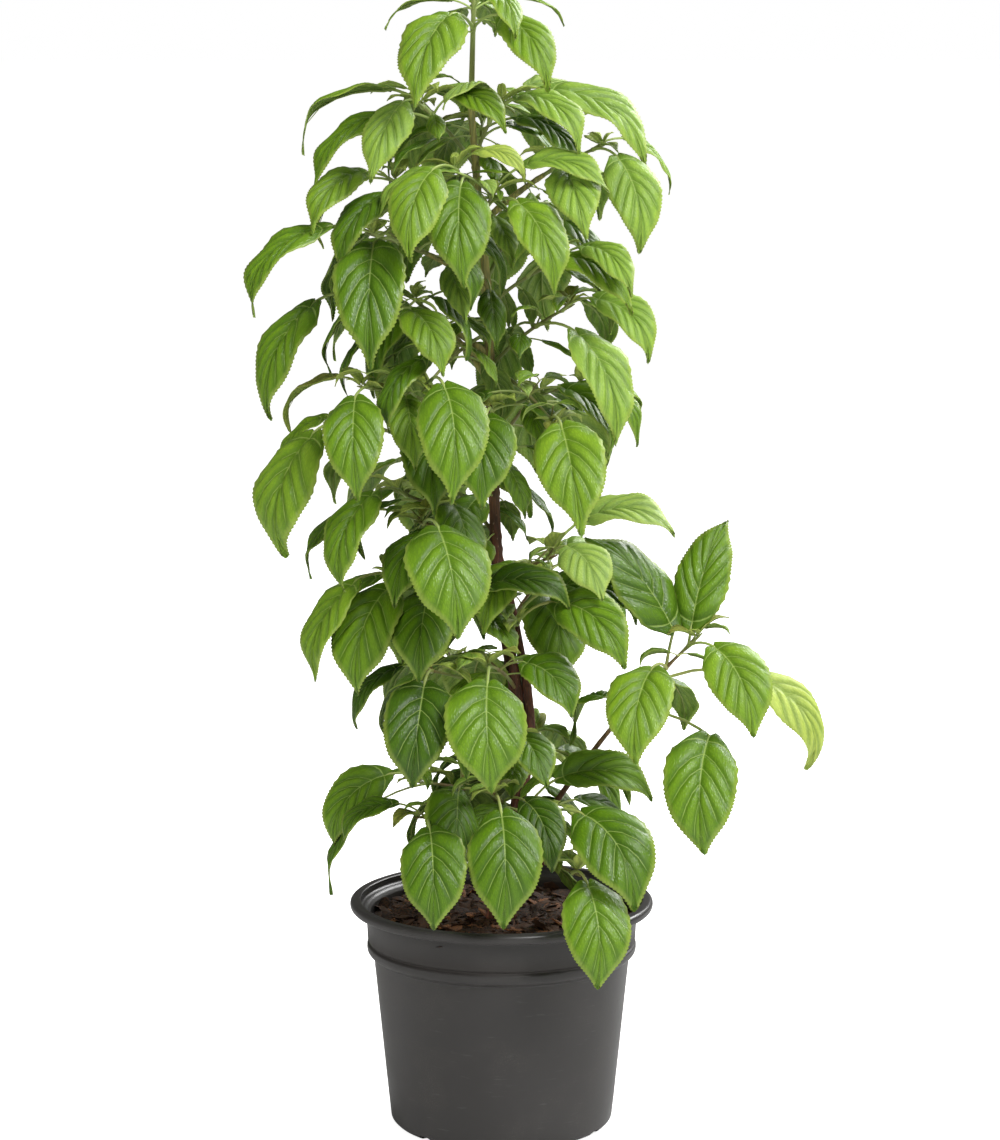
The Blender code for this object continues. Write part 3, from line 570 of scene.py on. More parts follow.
def blade(leaf, sheet, style, tint, draw, shape):
    """The sheet bent into one leaf, with veins, quilting, teeth and a gentle wave."""
    run, side = sheet.run, np.abs(sheet.across)
    size = leaf.blade / (85 * MM)
    aside = abs(compass(leaf.heading).x) ** 1.5
    narrowed = NARROWED * aside + SLIMMED * float(eased(leaf.base.z, *LOFTY))
    drawn = BLUNT + DRAWN_OUT * float(eased(leaf.base.z, *TIPS))
    share, edge = slant(sheet, side)
    sideways = sheet.across * outline(edge, drawn) * leaf.width / 2 * (draw.uniform(*WIDE) - narrowed)
    toothed = (side > 0.99) & (run > 0.06) & (run < 0.97)
    tooth = np.where(toothed & (sheet.odd == 1), shape.tooth * size, 0)
    sideways = sideways + np.sign(sheet.across) * tooth

    swell = quilting(sheet, side, edge, draw)
    fold = style.fold + draw.uniform(*CREASE) + CREASED * aside
    height = np.abs(sideways) * (fold - (style.cup + draw.uniform(*CUPPED)) * side)
    height = height + shape.quilting * style.quilting * size * (swell - 0.3)
    groove = np.exp(-((side / 0.07) ** 2)) * (1 - run)
    height = height - GROOVE * size * groove
    left, right = wave(share, draw), wave(share, draw)
    waves = np.where(sheet.across < 0, left, right) * eased(share, 0.02, 0.2)
    height = height + shape.waves * style.waves * size * waves * side**2
    height = height - (draw.uniform(*HOOK) + HOOKED * aside) * leaf.blade * eased(share, 0.5, 1.1) ** 2
    rib = KEEL * size * np.exp(-((side / 0.05) ** 2)) * (1 - run)
    height = height - sheet.under * (shape.thickness * (1 - 0.35 * side) + rib)
    curl = draw.uniform(-SICKLE, SICKLE) * leaf.blade
    sideways = sideways + curl * (share**2 - 0.25 * share)

    mesh = sheet.mesh.copy()
    places = bent(leaf, sideways, share, height, draw.uniform(-TWIST, TWIST))
    mesh.vertices.foreach_set("co", places.ravel())
    tiles = np.where(sheet.corner_under, UNDER[tint], TINTS.index(tint))
    u = (tiles % TILES[0] + 0.5 + TILE_HALF * sheet.corner_across) / TILES[0]
    v = (tiles // TILES[0] + TILE_FOOT + TILE_RUN * sheet.corner_run) / TILES[1]
    mesh.uv_layers["OFBake"].data.foreach_set("uv", np.stack([u, v], 1).ravel())
    return mesh


def gathered(name, meshes):
    """One piece from many meshes, which are then removed."""
    bm = bmesh.new()
    for mesh in meshes:
        bm.from_mesh(mesh)
        bpy.data.meshes.remove(mesh)
    return new_piece(name, made_mesh(name, bm))


def new_piece(name, data):
    """An object in the scene with its mesh, or a lamp's or camera's data."""
    piece = bpy.data.objects.new(name, data)
    bpy.context.scene.collection.objects.link(piece)
    return piece


# ---------------------------------------------------------------- which leaves stand where

Space = namedtuple("Space", "tree low high")


def space_of(places, faces):
    places = [Vector(place) for place in places]
    low = Vector([min(place[k] for place in places) for k in range(3)])
    high = Vector([max(place[k] for place in places) for k in range(3)])
    return Space(BVHTree.FromPolygons(places, faces), low, high)


def solid_space(node):
    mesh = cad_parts[node].data
    return space_of([v.co for v in mesh.vertices], [tuple(f.vertices) for f in mesh.polygons])


def blade_space(leaf):
    """A small leaf's blade and the upper part of its petiole as a coarse sheet."""
    shares = (0.03, 0.3, 0.6, 0.85, 1)
    rows = [plain_places(leaf, (-1, 0, 1), (share,) * 3) for share in shares]
    stalk = np.array(petiole_point(leaf, 0.3))
    places = [stalk - (0.4 * MM, 0, 0), stalk, stalk + (0.4 * MM, 0, 0)]
    places += [place for row in rows for place in row]
    faces = []
    for k in range(len(shares)):
        for m in (0, 1):
            a = 3 * k + m
            faces.append((a, a + 1, a + 4, a + 3))
    return space_of(places, faces)


def meets(space, others):
    for other in others:
        apart = any(space.low[k] > other.high[k] or space.high[k] < other.low[k] for k in range(3))
        if not apart and space.tree.overlap(other.tree):
            return True
    return False


def standing_leaves(solids):
    """Each mass's leaves as its packed solid has them: name of the shoot to (leaf, share, listed)."""
    found = {}
    for shoot in SHOOTS:
        tree = solids["leaves_" + shoot.name].tree
        at = shoot_line(shoot)
        found[shoot.name] = []
        for listed in (True, False):
            for wanted in wanted_leaves(shoot, listed):
                share = min(leaf_nodes(shoot), key=lambda node: (at(node) - wanted.root).length)
                for attempt in TRIES:
                    leaf = changed(wanted, *attempt)
                    marks = plain_places(leaf, (0, -1, 1), (1, 0.42, 0.42))
                    if all(tree.find_nearest(mark)[3] < 0.15 * MM for mark in marks):
                        found[shoot.name].append((leaf, share, listed))
                        break
    return found


def small_leaf(root, heading, droop, length, draw, stalk):
    """A young or inner leaf, with its petiole's length as a share of the blade's."""
    bend = draw.uniform(24, 58)
    level = bend / 2 - droop
    lift = min(80.0, level + draw.uniform(20, 40))
    width = length * draw.uniform(0.46, 0.56)
    tilt = draw.uniform(-16, 16)
    petiole = length * stalk
    return seated(Leaf(root, None, heading, 0, lift, level, level - bend, petiole, length, width, tilt))


SPARE = 3 * MM  # how far a small leaf may reach past the solids
LOWEST = 140 * MM  # the lowest that it may hang


def inside(leaf):
    """Whether the leaf keeps to the space that the solids reach."""
    low, high = CAD_BOX
    marks = plain_places(leaf, (0, -1, 1, 0), (1, 0.4, 0.4, 0.5))
    fits = all(low[k] - SPARE < mark[k] < high[k] + SPARE for mark in marks for k in range(3))
    return fits and marks[:, 2].min() > LOWEST


Extra = namedtuple("Extra", "leaf tint")
Stalk = namedtuple("Stalk", "points radii")
Growth = namedtuple("Growth", "taken extras stalks")

# Turn, sag and size that a small leaf tries one by one until it has room.
TIP_TRIES = ((0, 0, 1), (25, -10, 1), (-25, -10, 1), (50, 10, 1), (-50, 10, 1))
AXIL_TRIES = ((0, 0, 1), (20, 12, 0.9), (-24, -14, 0.85), (8, 26, 0.7))
BARE_TRIES = ((0, 0, 1), (30, 0, 1), (-30, 0, 1), (60, 0, 0.85), (-60, 0, 0.85), (90, 0, 0.7))
INNER_TRIES = ((0, 0, 1), (35, 0, 1), (-35, 0, 1), (70, 0, 0.85), (-70, 0, 0.85), (90, 0, 0.7))
PLACED_TURNS = (0, 15, -15, 30, -30)
BARE_PLACE = 0.42  # where a pair stands on a shoot's bare part
SHORT_SHOOT = 40 * MM  # a shoot below this has no such pair
INNER_HEIGHTS = (214, 650)  # between which inner leaves stand round the main stem, in mm
# Leaves placed one by one: share of the shoot, heading, droop, length, petiole's share and tint.
PLACED = {
    "crown": (
        (0.8, 12, 14, 52, 0.3, "fresh"),
        (0.8, 178, 16, 50, 0.3, "fresh"),
        (0.8, 75, 20, 54, 0.3, "fresh"),
        (0.8, 118, 26, 50, 0.3, "fresh"),
        (0.8, 250, 34, 40, 0.3, "fresh"),
        (0.8, 322, 36, 40, 0.3, "fresh"),
    ),
    "low_left": ((0.96, 200, 62, 62, 0.75, "deep"),),
}


def settle(growth, options, tint):
    """Adds the first of the options that has room."""
    for leaf in options:
        if not inside(leaf):
            continue
        space = blade_space(leaf)
        if not meets(space, growth.taken):
            growth.taken.append(space)
            growth.extras.append(Extra(leaf, tint))
            return


def tried(tries, root, heading, droop, length, draw, stalk):
    """A small leaf's options: as wanted, then turned, sagging or smaller. Its length is in mm."""
    return [
        small_leaf(root, heading + turn, droop + sag, length * MM * size, draw, stalk)
        for turn, sag, size in tries
    ]


def tip_pairs(growth, shoot, draw):
    """Two crossed pairs of young leaves at the shoot's tip, and the bud that bears them."""
    at = shoot_line(shoot)
    end = at(1)
    ahead = (end - at(0.9)).normalized()
    first = draw.uniform(0, 180)
    for k, length in enumerate((draw.uniform(20, 30), draw.uniform(10, 15))):
        root = end + ahead * (1.5 + 2.5 * k) * MM
        for turn in (0, 180):
            heading = first + 90 * k + turn + draw.uniform(-12, 12)
            droop = draw.uniform(-28, 8) - 26 * k
            options = tried(TIP_TRIES, root, heading, droop, length, draw, 0.16)
            settle(growth, options, "young" if draw.random() < 0.7 else "bronze")
    bud = [end - ahead * MM, end + ahead * 4 * MM, end + ahead * 7 * MM]
    growth.stalks.append(Stalk(bud, [1.0, 0.8, 0.35]))


def side_shoot(growth, leaf, draw):
    """A short twig in a leaf's axil with a pair of small leaves."""
    reach = draw.uniform(5, 15) * MM
    out = compass(leaf.heading + draw.uniform(-30, 30)) * 0.75 + UP * 0.7
    root = leaf.root + out.normalized() * reach
    before = len(growth.extras)
    length = draw.uniform(14, 30)
    for turn in (80, -80):
        heading = leaf.heading + turn + draw.uniform(-15, 15)
        droop = draw.uniform(-10, 34)
        options = tried(AXIL_TRIES, root, heading, droop, length, draw, 0.25)
        settle(growth, options, draw.choice(("bright", "pale", "young", "fresh")))
    if len(growth.extras) > before:
        twig = [leaf.root, leaf.root.lerp(root, 0.6), root]
        growth.stalks.append(Stalk(twig, [0.75, 0.6, 0.5]))


def opposite_pair(growth, tries, root, draw, lengths, droops, stalk, tints):
    """Two leaves that stand opposite each other, away from any axil."""
    first = draw.uniform(0, 180)
    for turn in (0, 180):
        length = draw.uniform(*lengths)
        droop = draw.uniform(*droops)
        options = tried(tries, root, first + turn, droop, length, draw, stalk)
        settle(growth, options, draw.choice(tints))


def side_growth(found, solids, amount):
    """Tip pairs, side shoots in the axils and inner leaves, each only where it has room."""
    growth = Growth(list(solids.values()), [], [])
    for shoot in SHOOTS:
        draw = random.Random(shoot.name + " side growth")
        at = shoot_line(shoot)
        tip_pairs(growth, shoot, draw)
        for leaf, _, _ in found[shoot.name]:
            if draw.random() <= amount:
                side_shoot(growth, leaf, draw)
        for share, heading, droop, length, stalk, tint in PLACED.get(shoot.name, ()):
            options = [
                small_leaf(at(share - 0.1 * k), heading + turn, droop, length * MM, draw, stalk)
                for k, turn in enumerate(PLACED_TURNS)
            ]
            settle(growth, options, tint)
        if shoot_length(shoot) > SHORT_SHOOT and shoot.name != "crown":
            tints = ("deep", "mid", "fresh", "bright")
            opposite_pair(growth, BARE_TRIES, at(BARE_PLACE), draw, (30, 50), (22, 56), 0.4, tints)

    draw = random.Random("inner leaves")
    height = float(INNER_HEIGHTS[0])
    while height < INNER_HEIGHTS[1]:
        root = main_point(height * MM)
        opposite_pair(growth, INNER_TRIES, root, draw, (34, 54), (30, 62), 0.5, ("deep", "mid", "fresh"))
        height += draw.uniform(22, 34)
    return growth.extras, growth.stalks


# ---------------------------------------------------------------- limbs

# How many sides and rings each kind of limb has.
MAIN_GRID = (28, 300)
TWINE_GRID = (20, 140)
BOUGH_GRID = (12, 36)
TWINE_KNOTS = (0.05, 0.1, 0.15)  # how far up the second stem its knots are, in metres
MAIN_GREENS = (0.36, 0.62)  # heights between which the stems' bark turns green, in metres
BOUGH_GREENS = (0.16, 0.52)  # the same for the boughs'
CROWN_TWIG = 1.45  # how much thicker the plant's tip is than the other twigs


def evaluated(thing):
    """The mesh that an object has once its modifiers or its bevel have worked."""
    bpy.context.view_layer.update()
    graph = bpy.context.evaluated_depsgraph_get()
    return bpy.data.meshes.new_from_object(thing.evaluated_get(graph))


def tubes(name, stalks, rounding=2):
    """Many round tapering stalks as one piece."""
    curve = bpy.data.curves.new(name, "CURVE")
    curve.dimensions = "3D"
    curve.bevel_depth = MM
    curve.bevel_resolution = rounding
    curve.use_fill_caps = True
    for stalk in stalks:
        spline = curve.splines.new("POLY")
        spline.points.add(len(stalk.points) - 1)
        spline.use_smooth = True
        for point, place, radius in zip(spline.points, stalk.points, stalk.radii):
            point.co = (*place, 1)
            point.radius = radius
    guide = bpy.data.objects.new(name, curve)
    bpy.context.scene.collection.objects.link(guide)
    mesh = evaluated(guide)
    bpy.data.objects.remove(guide)
    mesh.name = name
    return new_piece(name, mesh)


def petiole_stalk(leaf, radius, mesh, sheet):
    """The petiole, clasping at its foot, and the midrib that runs on along the blade's underside."""
    points = [petiole_point(leaf, share) for share in (SUNK, 0.04, 0.12, 0.3, 0.5, 0.7, 0.88, 1)]
    radii = [1.7, 1.55, 1.15, 1.0, 0.96, 0.94, 0.98, 0.95]
    middle = np.flatnonzero(sheet.under & (sheet.across == 0))
    middle = middle[np.argsort(sheet.run[middle])]
    for share in RIB_SHARES:
        points.append(mesh.vertices[middle[round(share * (len(middle) - 1))]].co.copy())
        radii.append(RIB_FOOT * (1 - share) + RIB_TIP)
    size = radius / MM * min(1.15, max(0.45, (leaf.blade / (80 * MM)) ** 0.7))
    return Stalk(points, [size * r for r in radii])


def rolled(name, sides, rings, place, strip):
    """A limb rolled up from a grid: place(turn, share) gives each of its points.

    strip is its place on the bark's map: which strip it has, and of how many.
    """
    bm = bmesh.new()
    bmesh.ops.create_grid(bm, x_segments=sides, y_segments=rings, size=0.5)
    layer = bm.loops.layers.uv.new("OFBake")
    for face in bm.faces:
        face.smooth = True
        for corner in face.loops:
            across = (strip[0] + 0.02 + 0.96 * (corner.vert.co.x + 0.5)) / strip[1]
            corner[layer].uv = (across, 0.01 + 0.98 * (corner.vert.co.y + 0.5))
    for vert in bm.verts:
        vert.co = place((vert.co.x + 0.5) % 1.0, vert.co.y + 0.5)
    bmesh.ops.remove_doubles(bm, verts=bm.verts, dist=0.002 * MM)
    ends = bmesh.ops.holes_fill(bm, edges=[edge for edge in bm.edges if edge.is_boundary])
    bmesh.ops.recalc_face_normals(bm, faces=bm.faces)
    for face in ends["faces"]:
        face.smooth = False
    return made_mesh(name, bm)


def bark_swell(turn, travel, knots, depth):
    """Bark relief: long fibres, shallow furrows and rings of old leaf scars at the knots."""
    around = Vector((math.cos(2 * math.pi * turn), math.sin(2 * math.pi * turn), 0))
    fibre = noise.noise(around * 2.6 + UP * travel * 38)
    furrow = abs(noise.noise(around * 1.5 + UP * (travel * 16 + 7)))
    ring = sum(math.exp(-(((travel - knot) / (1.6 * MM)) ** 2)) for knot in knots)
    return depth * (0.45 * fibre - 0.9 * furrow + 0.3 + 1.1 * min(ring, 1.2))


def limb(name, at, thick, length, knots, sides, rings, depth, strip=(0, 1)):
    """A woody limb along at(share) with thick(share) as its radius."""
    step = 0.004

    def place(turn, share):
        ahead = (at(min(1.0, share + step)) - at(max(0.0, share - step))).normalized()
        across = ahead.orthogonal().normalized() if abs(ahead.z) < 0.7 else Vector((1, 0, 0))
        across = (across - ahead * across.dot(ahead)).normalized()
        other = ahead.cross(across)
        radius = thick(share) + bark_swell(turn, share * length, knots, depth)
        angle = 2 * math.pi * turn
        return at(share) + (across * math.cos(angle) + other * math.sin(angle)) * radius

    return rolled(name, sides, rings, place, strip)


def stem_limb(name, point, radius, top, knots, sides, rings, depth):
    height = top - MAIN_BOTTOM

    def at(share):
        return point(MAIN_BOTTOM + height * share)

    def thick(share):
        return radius(MAIN_BOTTOM + height * share)

    return limb(name, at, thick, height, knots, sides, rings, depth)


def bough_limb(shoot, depth, strip):
    """A shoot's woody part, which runs on a little way into its twig."""
    line = shoot_line(shoot)
    bare = bare_share(shoot)
    length = shoot_length(shoot) * bare
    knots = [length * share for share in (0.3, 0.62, 0.9)]

    def at(share):
        return line(share * (bare + 0.01))

    def thick(share):
        return BOUGH_FOOT + (BOUGH_TIP - BOUGH_FOOT) * share

    return limb("bough", at, thick, length, knots, *BOUGH_GRID, depth, strip)


def twig_stalk(shoot):
    """The green end of a shoot, a little thicker where each pair of leaves stands."""
    at = shoot_line(shoot)
    bare = bare_share(shoot)
    nodes = leaf_nodes(shoot)
    thick = CROWN_TWIG if shoot.name == "crown" else 1.0
    points, radii = [], []
    for share in steps(bare, 1, 26):
        knot = max(math.exp(-(((share - node) / 0.02) ** 2)) for node in nodes)
        ahead = (share - bare) / (1 - bare)
        points.append(at(share))
        radii.append(thick * (TWIG_FOOT + (TWIG_TIP - TWIG_FOOT) * ahead) / MM + 0.45 * knot)
    return Stalk(points, radii)


# ---------------------------------------------------------------- pot and potting mix

POT_HEIGHT = 148 * MM
LIP_RADIUS = 98 * MM
COLLAR_RADIUS = 87.6 * MM
COLLAR_HEIGHT = 37 * MM
SHOULDER_RADIUS = 82.8 * MM
BASE_RADIUS = 72.5 * MM
CORNER = 9 * MM
WALL = 1.8 * MM
NOTCHES = 7  # round the foot, with as many drain holes between them
NOTCH_WIDTH = 9 * MM
NOTCH_HEIGHT = 3.5 * MM
NOTCH_DEPTH = 13 * MM
FIRST_NOTCH = 226  # degrees
DRAIN_RADIUS = 4.5 * MM
DRAIN_CIRCLE = 38 * MM
MIX_TOP = 135 * MM
STEP = POT_HEIGHT - COLLAR_HEIGHT
BORE = COLLAR_RADIUS - WALL - 1.2 * MM  # the collar's radius inside
MIX_RADIUS = BORE - 0.3 * MM
POT_TURNS = 144  # faces round the pot
SHARP = 38  # degrees past which an edge of the pot stays crisp
MIX_TURNS = 120
GOLDEN_TURN = 2.399963  # radians from one chip to the next, which spreads them evenly
FOOT_CLEAR = 9 * MM  # mix that stays bare of chips round the stem
FIBRES = 70
FIBRE_STEP = 2.3 * MM
CHIP_SORTS = {"dark": 7, "brown": 3.6, "orange": 1.3}  # how often each sort of chip comes


def rounded(points, radius):
    """A profile with each inner corner rounded off."""
    made = [Vector(points[0])]
    for before, corner, after in zip(points, points[1:], points[2:]):
        before, corner, after = Vector(before), Vector(corner), Vector(after)
        back, ahead = before - corner, after - corner
        cut = min(radius, 0.45 * back.length, 0.45 * ahead.length)
        start = corner + back.normalized() * cut
        end = corner + ahead.normalized() * cut
        for share in steps(0, 1, 4):
            first = start.lerp(corner, share)
            made.append(first.lerp(corner.lerp(end, share), share))
    made.append(Vector(points[-1]))
    return made


def spun(name, profile, turns):
    """A solid turned round the vertical axis from its profile of (radius, height)."""
    bm = bmesh.new()
    verts = [bm.verts.new((point[0], 0, point[1])) for point in profile]
    edges = [bm.edges.new(pair) for pair in zip(verts, verts[1:])]
    bmesh.ops.spin(
        bm,
        geom=verts + edges,
        cent=(0, 0, 0),
        axis=(0, 0, 1),
        angle=2 * math.pi,
        steps=turns,
        use_merge=True,
    )
    bmesh.ops.remove_doubles(bm, verts=bm.verts, dist=0.02 * MM)
    bmesh.ops.recalc_face_normals(bm, faces=bm.faces)
    for face in bm.faces:
        face.smooth = True
    return made_mesh(name, bm)


def pot_profile():
    """The wall's section, round its outside and back up its inside, as a closed ring."""
    top = POT_HEIGHT
    outside = [
        (LIP_RADIUS - 6.8 * MM, top - 0.5 * MM),
        (LIP_RADIUS - 6.3 * MM, top),
        (LIP_RADIUS - 1.6 * MM, top),
        (LIP_RADIUS, top - 1.6 * MM),
        (LIP_RADIUS, top - 4.4 * MM),
        (LIP_RADIUS - 1.4 * MM, top - 6.2 * MM),
        (COLLAR_RADIUS + 2.4 * MM, top - 6.4 * MM),
        (COLLAR_RADIUS, top - 8.6 * MM),
        (COLLAR_RADIUS - 0.1 * MM, top - 12 * MM),
        (COLLAR_RADIUS - 0.9 * MM, STEP + 10.9 * MM),
        (COLLAR_RADIUS - 2.0 * MM, STEP + 9.8 * MM),
        (COLLAR_RADIUS - 1.9 * MM, STEP + 8.9 * MM),
        (COLLAR_RADIUS - 0.4 * MM, STEP + 8.0 * MM),
        (COLLAR_RADIUS - 0.4 * MM, STEP + 4.6 * MM),
        (COLLAR_RADIUS - 1.2 * MM, STEP + 2.6 * MM),
        (SHOULDER_RADIUS + 1.0 * MM, STEP + 0.6 * MM),
        (SHOULDER_RADIUS, STEP - 0.6 * MM),
        (BASE_RADIUS + 0.9 * MM, CORNER + 8 * MM),
        (BASE_RADIUS, CORNER),
        (BASE_RADIUS - 0.6 * MM, CORNER / 2.6),
        (BASE_RADIUS - CORNER / 2.6, 0.6 * MM),
        (BASE_RADIUS - CORNER, 0),
        (40 * MM, 0),
        (0, 0),
    ]
    inside = [
        (0, WALL),
        (BASE_RADIUS - CORNER, WALL),
        (BASE_RADIUS - WALL, CORNER),
        (SHOULDER_RADIUS - WALL, STEP - WALL),
        (BORE, STEP + 4 * MM),
        (BORE, top - 8.6 * MM),
        (COLLAR_RADIUS + 0.6 * MM, top - 5.8 * MM),
        (LIP_RADIUS - 8 * MM, top - 5.2 * MM),
        (LIP_RADIUS - 6.9 * MM, top - 4.2 * MM),
        outside[0],
    ]
    return rounded(outside, 1.1 * MM) + rounded(inside, 0.8 * MM)


def turn_round_axis(bm, verts, degrees):
    matrix = Matrix.Rotation(math.radians(degrees), 3, "Z")
    bmesh.ops.rotate(bm, cent=(0, 0, 0), matrix=matrix, verts=verts)


def drainage():
    """Rounded boxes and rods that cut the notches and the drain holes."""
    bm = bmesh.new()
    for k in range(NOTCHES):
        box = bmesh.ops.create_cube(bm, size=1)["verts"]
        size = Vector((2 * NOTCH_DEPTH, NOTCH_WIDTH, 2 * NOTCH_HEIGHT))
        bmesh.ops.scale(bm, vec=size, verts=box)
        edges = {edge for vert in box for edge in vert.link_edges}
        level = [e for e in edges if abs(e.verts[0].co.x - e.verts[1].co.x) > NOTCH_DEPTH]
        smoothed = bmesh.ops.bevel(
            bm, geom=level, offset=1.6 * MM, affect="EDGES", segments=3, profile=0.5, material=-1
        )
        box = list({vert for face in smoothed["faces"] for vert in face.verts})
        bmesh.ops.translate(bm, vec=(BASE_RADIUS, 0, 0), verts=box)
        turn_round_axis(bm, box, FIRST_NOTCH + 360 * k / NOTCHES)
    for k in range(NOTCHES):
        rod = bmesh.ops.create_cone(
            bm, cap_ends=True, segments=20, radius1=DRAIN_RADIUS, radius2=DRAIN_RADIUS, depth=6 * WALL
        )["verts"]
        bmesh.ops.translate(bm, vec=(DRAIN_CIRCLE, 0, 0), verts=rod)
        turn_round_axis(bm, rod, FIRST_NOTCH + 360 * (k + 0.5) / NOTCHES)
    return new_piece("drainage", made_mesh("drainage", bm))


def cut_out(piece, cutter):
    """Cuts the cutter out of the piece, applies the cut and removes the cutter."""
    cut = piece.modifiers.new("cut", "BOOLEAN")
    cut.operation = "DIFFERENCE"
    cut.solver = "EXACT"
    cut.object = cutter
    mesh = evaluated(piece)
    piece.modifiers.clear()
    piece.data = mesh
    bpy.data.objects.remove(cutter)


def mix_bed():
    """The settled potting mix: dished and lumpy on top, filling the pot below."""
    top = [(MIX_RADIUS * share, MIX_TOP) for share in steps(0, 1, 40)]
    below = [
        (MIX_RADIUS, STEP + 5 * MM),
        (SHOULDER_RADIUS - WALL - 0.5 * MM, STEP - WALL),
        (BASE_RADIUS - WALL - 0.5 * MM, CORNER),
        (BASE_RADIUS - CORNER - 1 * MM, WALL + 0.3 * MM),
        (0, WALL + 0.3 * MM),
    ]
    mesh = spun("mix_bed", top + below, MIX_TURNS)
    for vert in mesh.vertices:
        if vert.co.z > MIX_TOP - 1 * MM:
            vert.co.z += mix_rise(vert.co.x, vert.co.y)
    return mesh


def mix_rise(x, y):
    """How far the mix's surface stands above its level top, or below it."""
    away = math.hypot(x, y) / MIX_RADIUS
    lumps = noise.noise(Vector((x, y, 0)) * 95) * 1.5 + noise.noise(Vector((x, y, 3)) * 300) * 0.7
    return (lumps - 1.6 + 1.2 * away**2 + 2.4 * math.exp(-((away / 0.14) ** 2))) * MM


def chip(draw, x, y):
    """A flake of bark, lying roughly flat on the mix."""
    bm = bmesh.new()
    bmesh.ops.create_icosphere(bm, subdivisions=1, radius=1)
    for vert in bm.verts:
        vert.co *= draw.uniform(0.72, 1.22)
    long = draw.uniform(2.4, 6.5) * (1.9 if draw.random() < 0.2 else 1)
    size = Vector((long, long * draw.uniform(0.38, 0.75), draw.uniform(0.6, 1.5))) * MM
    bmesh.ops.scale(bm, vec=size, verts=bm.verts)
    lean = Matrix.Rotation(math.radians(draw.gauss(0, 17)), 3, "X")
    turn = Matrix.Rotation(draw.uniform(0, 2 * math.pi), 3, "Z")
    pitch = Matrix.Rotation(math.radians(draw.gauss(0, 15)), 3, "Y")
    bmesh.ops.rotate(bm, cent=(0, 0, 0), matrix=turn @ pitch @ lean, verts=bm.verts)
    lift = MIX_TOP + mix_rise(x, y) + size.z * draw.uniform(0.1, 0.8)
    bmesh.ops.translate(bm, vec=(x, y, lift), verts=bm.verts)
    return made_mesh("chip", bm)


def chip_places(draw, count, clear):
    """Places spread evenly over the mix, off the stems' feet."""
    for k in range(count):
        away = MIX_RADIUS * 0.965 * math.sqrt((k + 0.5) / count)
        turn = k * GOLDEN_TURN + draw.uniform(-0.4, 0.4)
        x, y = away * math.cos(turn), away * math.sin(turn)
        if math.hypot(x - clear.x, y - clear.y) > FOOT_CLEAR:
            yield x + draw.uniform(-2, 2) * MM, y + draw.uniform(-2, 2) * MM


def fibre(draw):
    """A thin root fibre or splinter that lies across the mix."""
    away = MIX_RADIUS * 0.85 * math.sqrt(draw.random())
    turn = draw.uniform(0, 2 * math.pi)
    x, y = away * math.cos(turn), away * math.sin(turn)
    heading = draw.uniform(0, 2 * math.pi)
    points = []
    for _ in range(7):
        lift = MIX_TOP + mix_rise(x, y) + draw.uniform(1.0, 2.2) * MM
        points.append(Vector((x, y, lift)))
        x += math.cos(heading) * FIBRE_STEP
        y += math.sin(heading) * FIBRE_STEP
        heading += draw.uniform(-0.5, 0.5)
    thick = draw.uniform(0.2, 0.42)
    return Stalk(points, [thick * r for r in (0.5, 1, 1, 1, 1, 0.8, 0.4)])


# ---------------------------------------------------------------- materials


def plug(tree, made, inputs):
    """Gives a node its inputs, as values or as sockets to link."""
    for name, value in inputs.items():
        if isinstance(value, bpy.types.NodeSocket):
            tree.links.new(value, made.inputs[name])
        else:
            made.inputs[name].default_value = value


def put(tree, kind, inputs, **settings):
    """A shader node with its settings and its inputs."""
    made = tree.nodes.new("ShaderNode" + kind)
    for name, value in settings.items():
        setattr(made, name, value)
    plug(tree, made, inputs)
    return made


def use(tree, group, inputs):
    """A node group placed in a material, by its outputs."""
    made = tree.nodes.new("ShaderNodeGroup")
    made.node_tree = group
    plug(tree, made, inputs)
    return made.outputs


def maths(tree, operation, first, second=0.0):
    return put(tree, "Math", {0: first, 1: second}, operation=operation).outputs[0]


def times(tree, first, second):
    return maths(tree, "MULTIPLY", first, second)


def plus(tree, first, second):
    return maths(tree, "ADD", first, second)


def minus(tree, first, second):
    return maths(tree, "SUBTRACT", first, second)


def ramped(tree, value, low, high, start=0.0, end=1.0):
    """value taken smoothly from start at low to end at high."""
    inputs = {"Value": value, "From Min": low, "From Max": high, "To Min": start, "To Max": end}
    return put(tree, "MapRange", inputs, interpolation_type="SMOOTHSTEP").outputs[0]


def mixed(tree, factor, first, second, mode="MIX"):
    """Two colours mixed."""
    inputs = {0: factor, 6: first, 7: second}
    return put(tree, "Mix", inputs, data_type="RGBA", blend_type=mode).outputs[2]


def toned(tree, colour, tone):
    """A colour multiplied by a tone."""
    return mixed(tree, 1.0, colour, (*tone, 1), "MULTIPLY")


def scaled(tree, vector, scale):
    return put(tree, "Mapping", {"Vector": vector, "Scale": scale}).outputs[0]


def speckle(tree, vector, scale, detail=3.0, roughness=0.55):
    inputs = {"Vector": vector, "Scale": scale, "Detail": detail, "Roughness": roughness}
    return put(tree, "TexNoise", inputs).outputs["Fac"]


def own_coordinates(tree):
    return put(tree, "TexCoord", {}).outputs["Object"]


def height_of(tree, place):
    return put(tree, "SeparateXYZ", {"Vector": place}).outputs["Z"]


def bump(tree, shader, height, strength, distance):
    inputs = {"Strength": strength, "Distance": distance, "Height": height}
    tree.links.new(put(tree, "Bump", inputs).outputs[0], shader.inputs["Normal"])


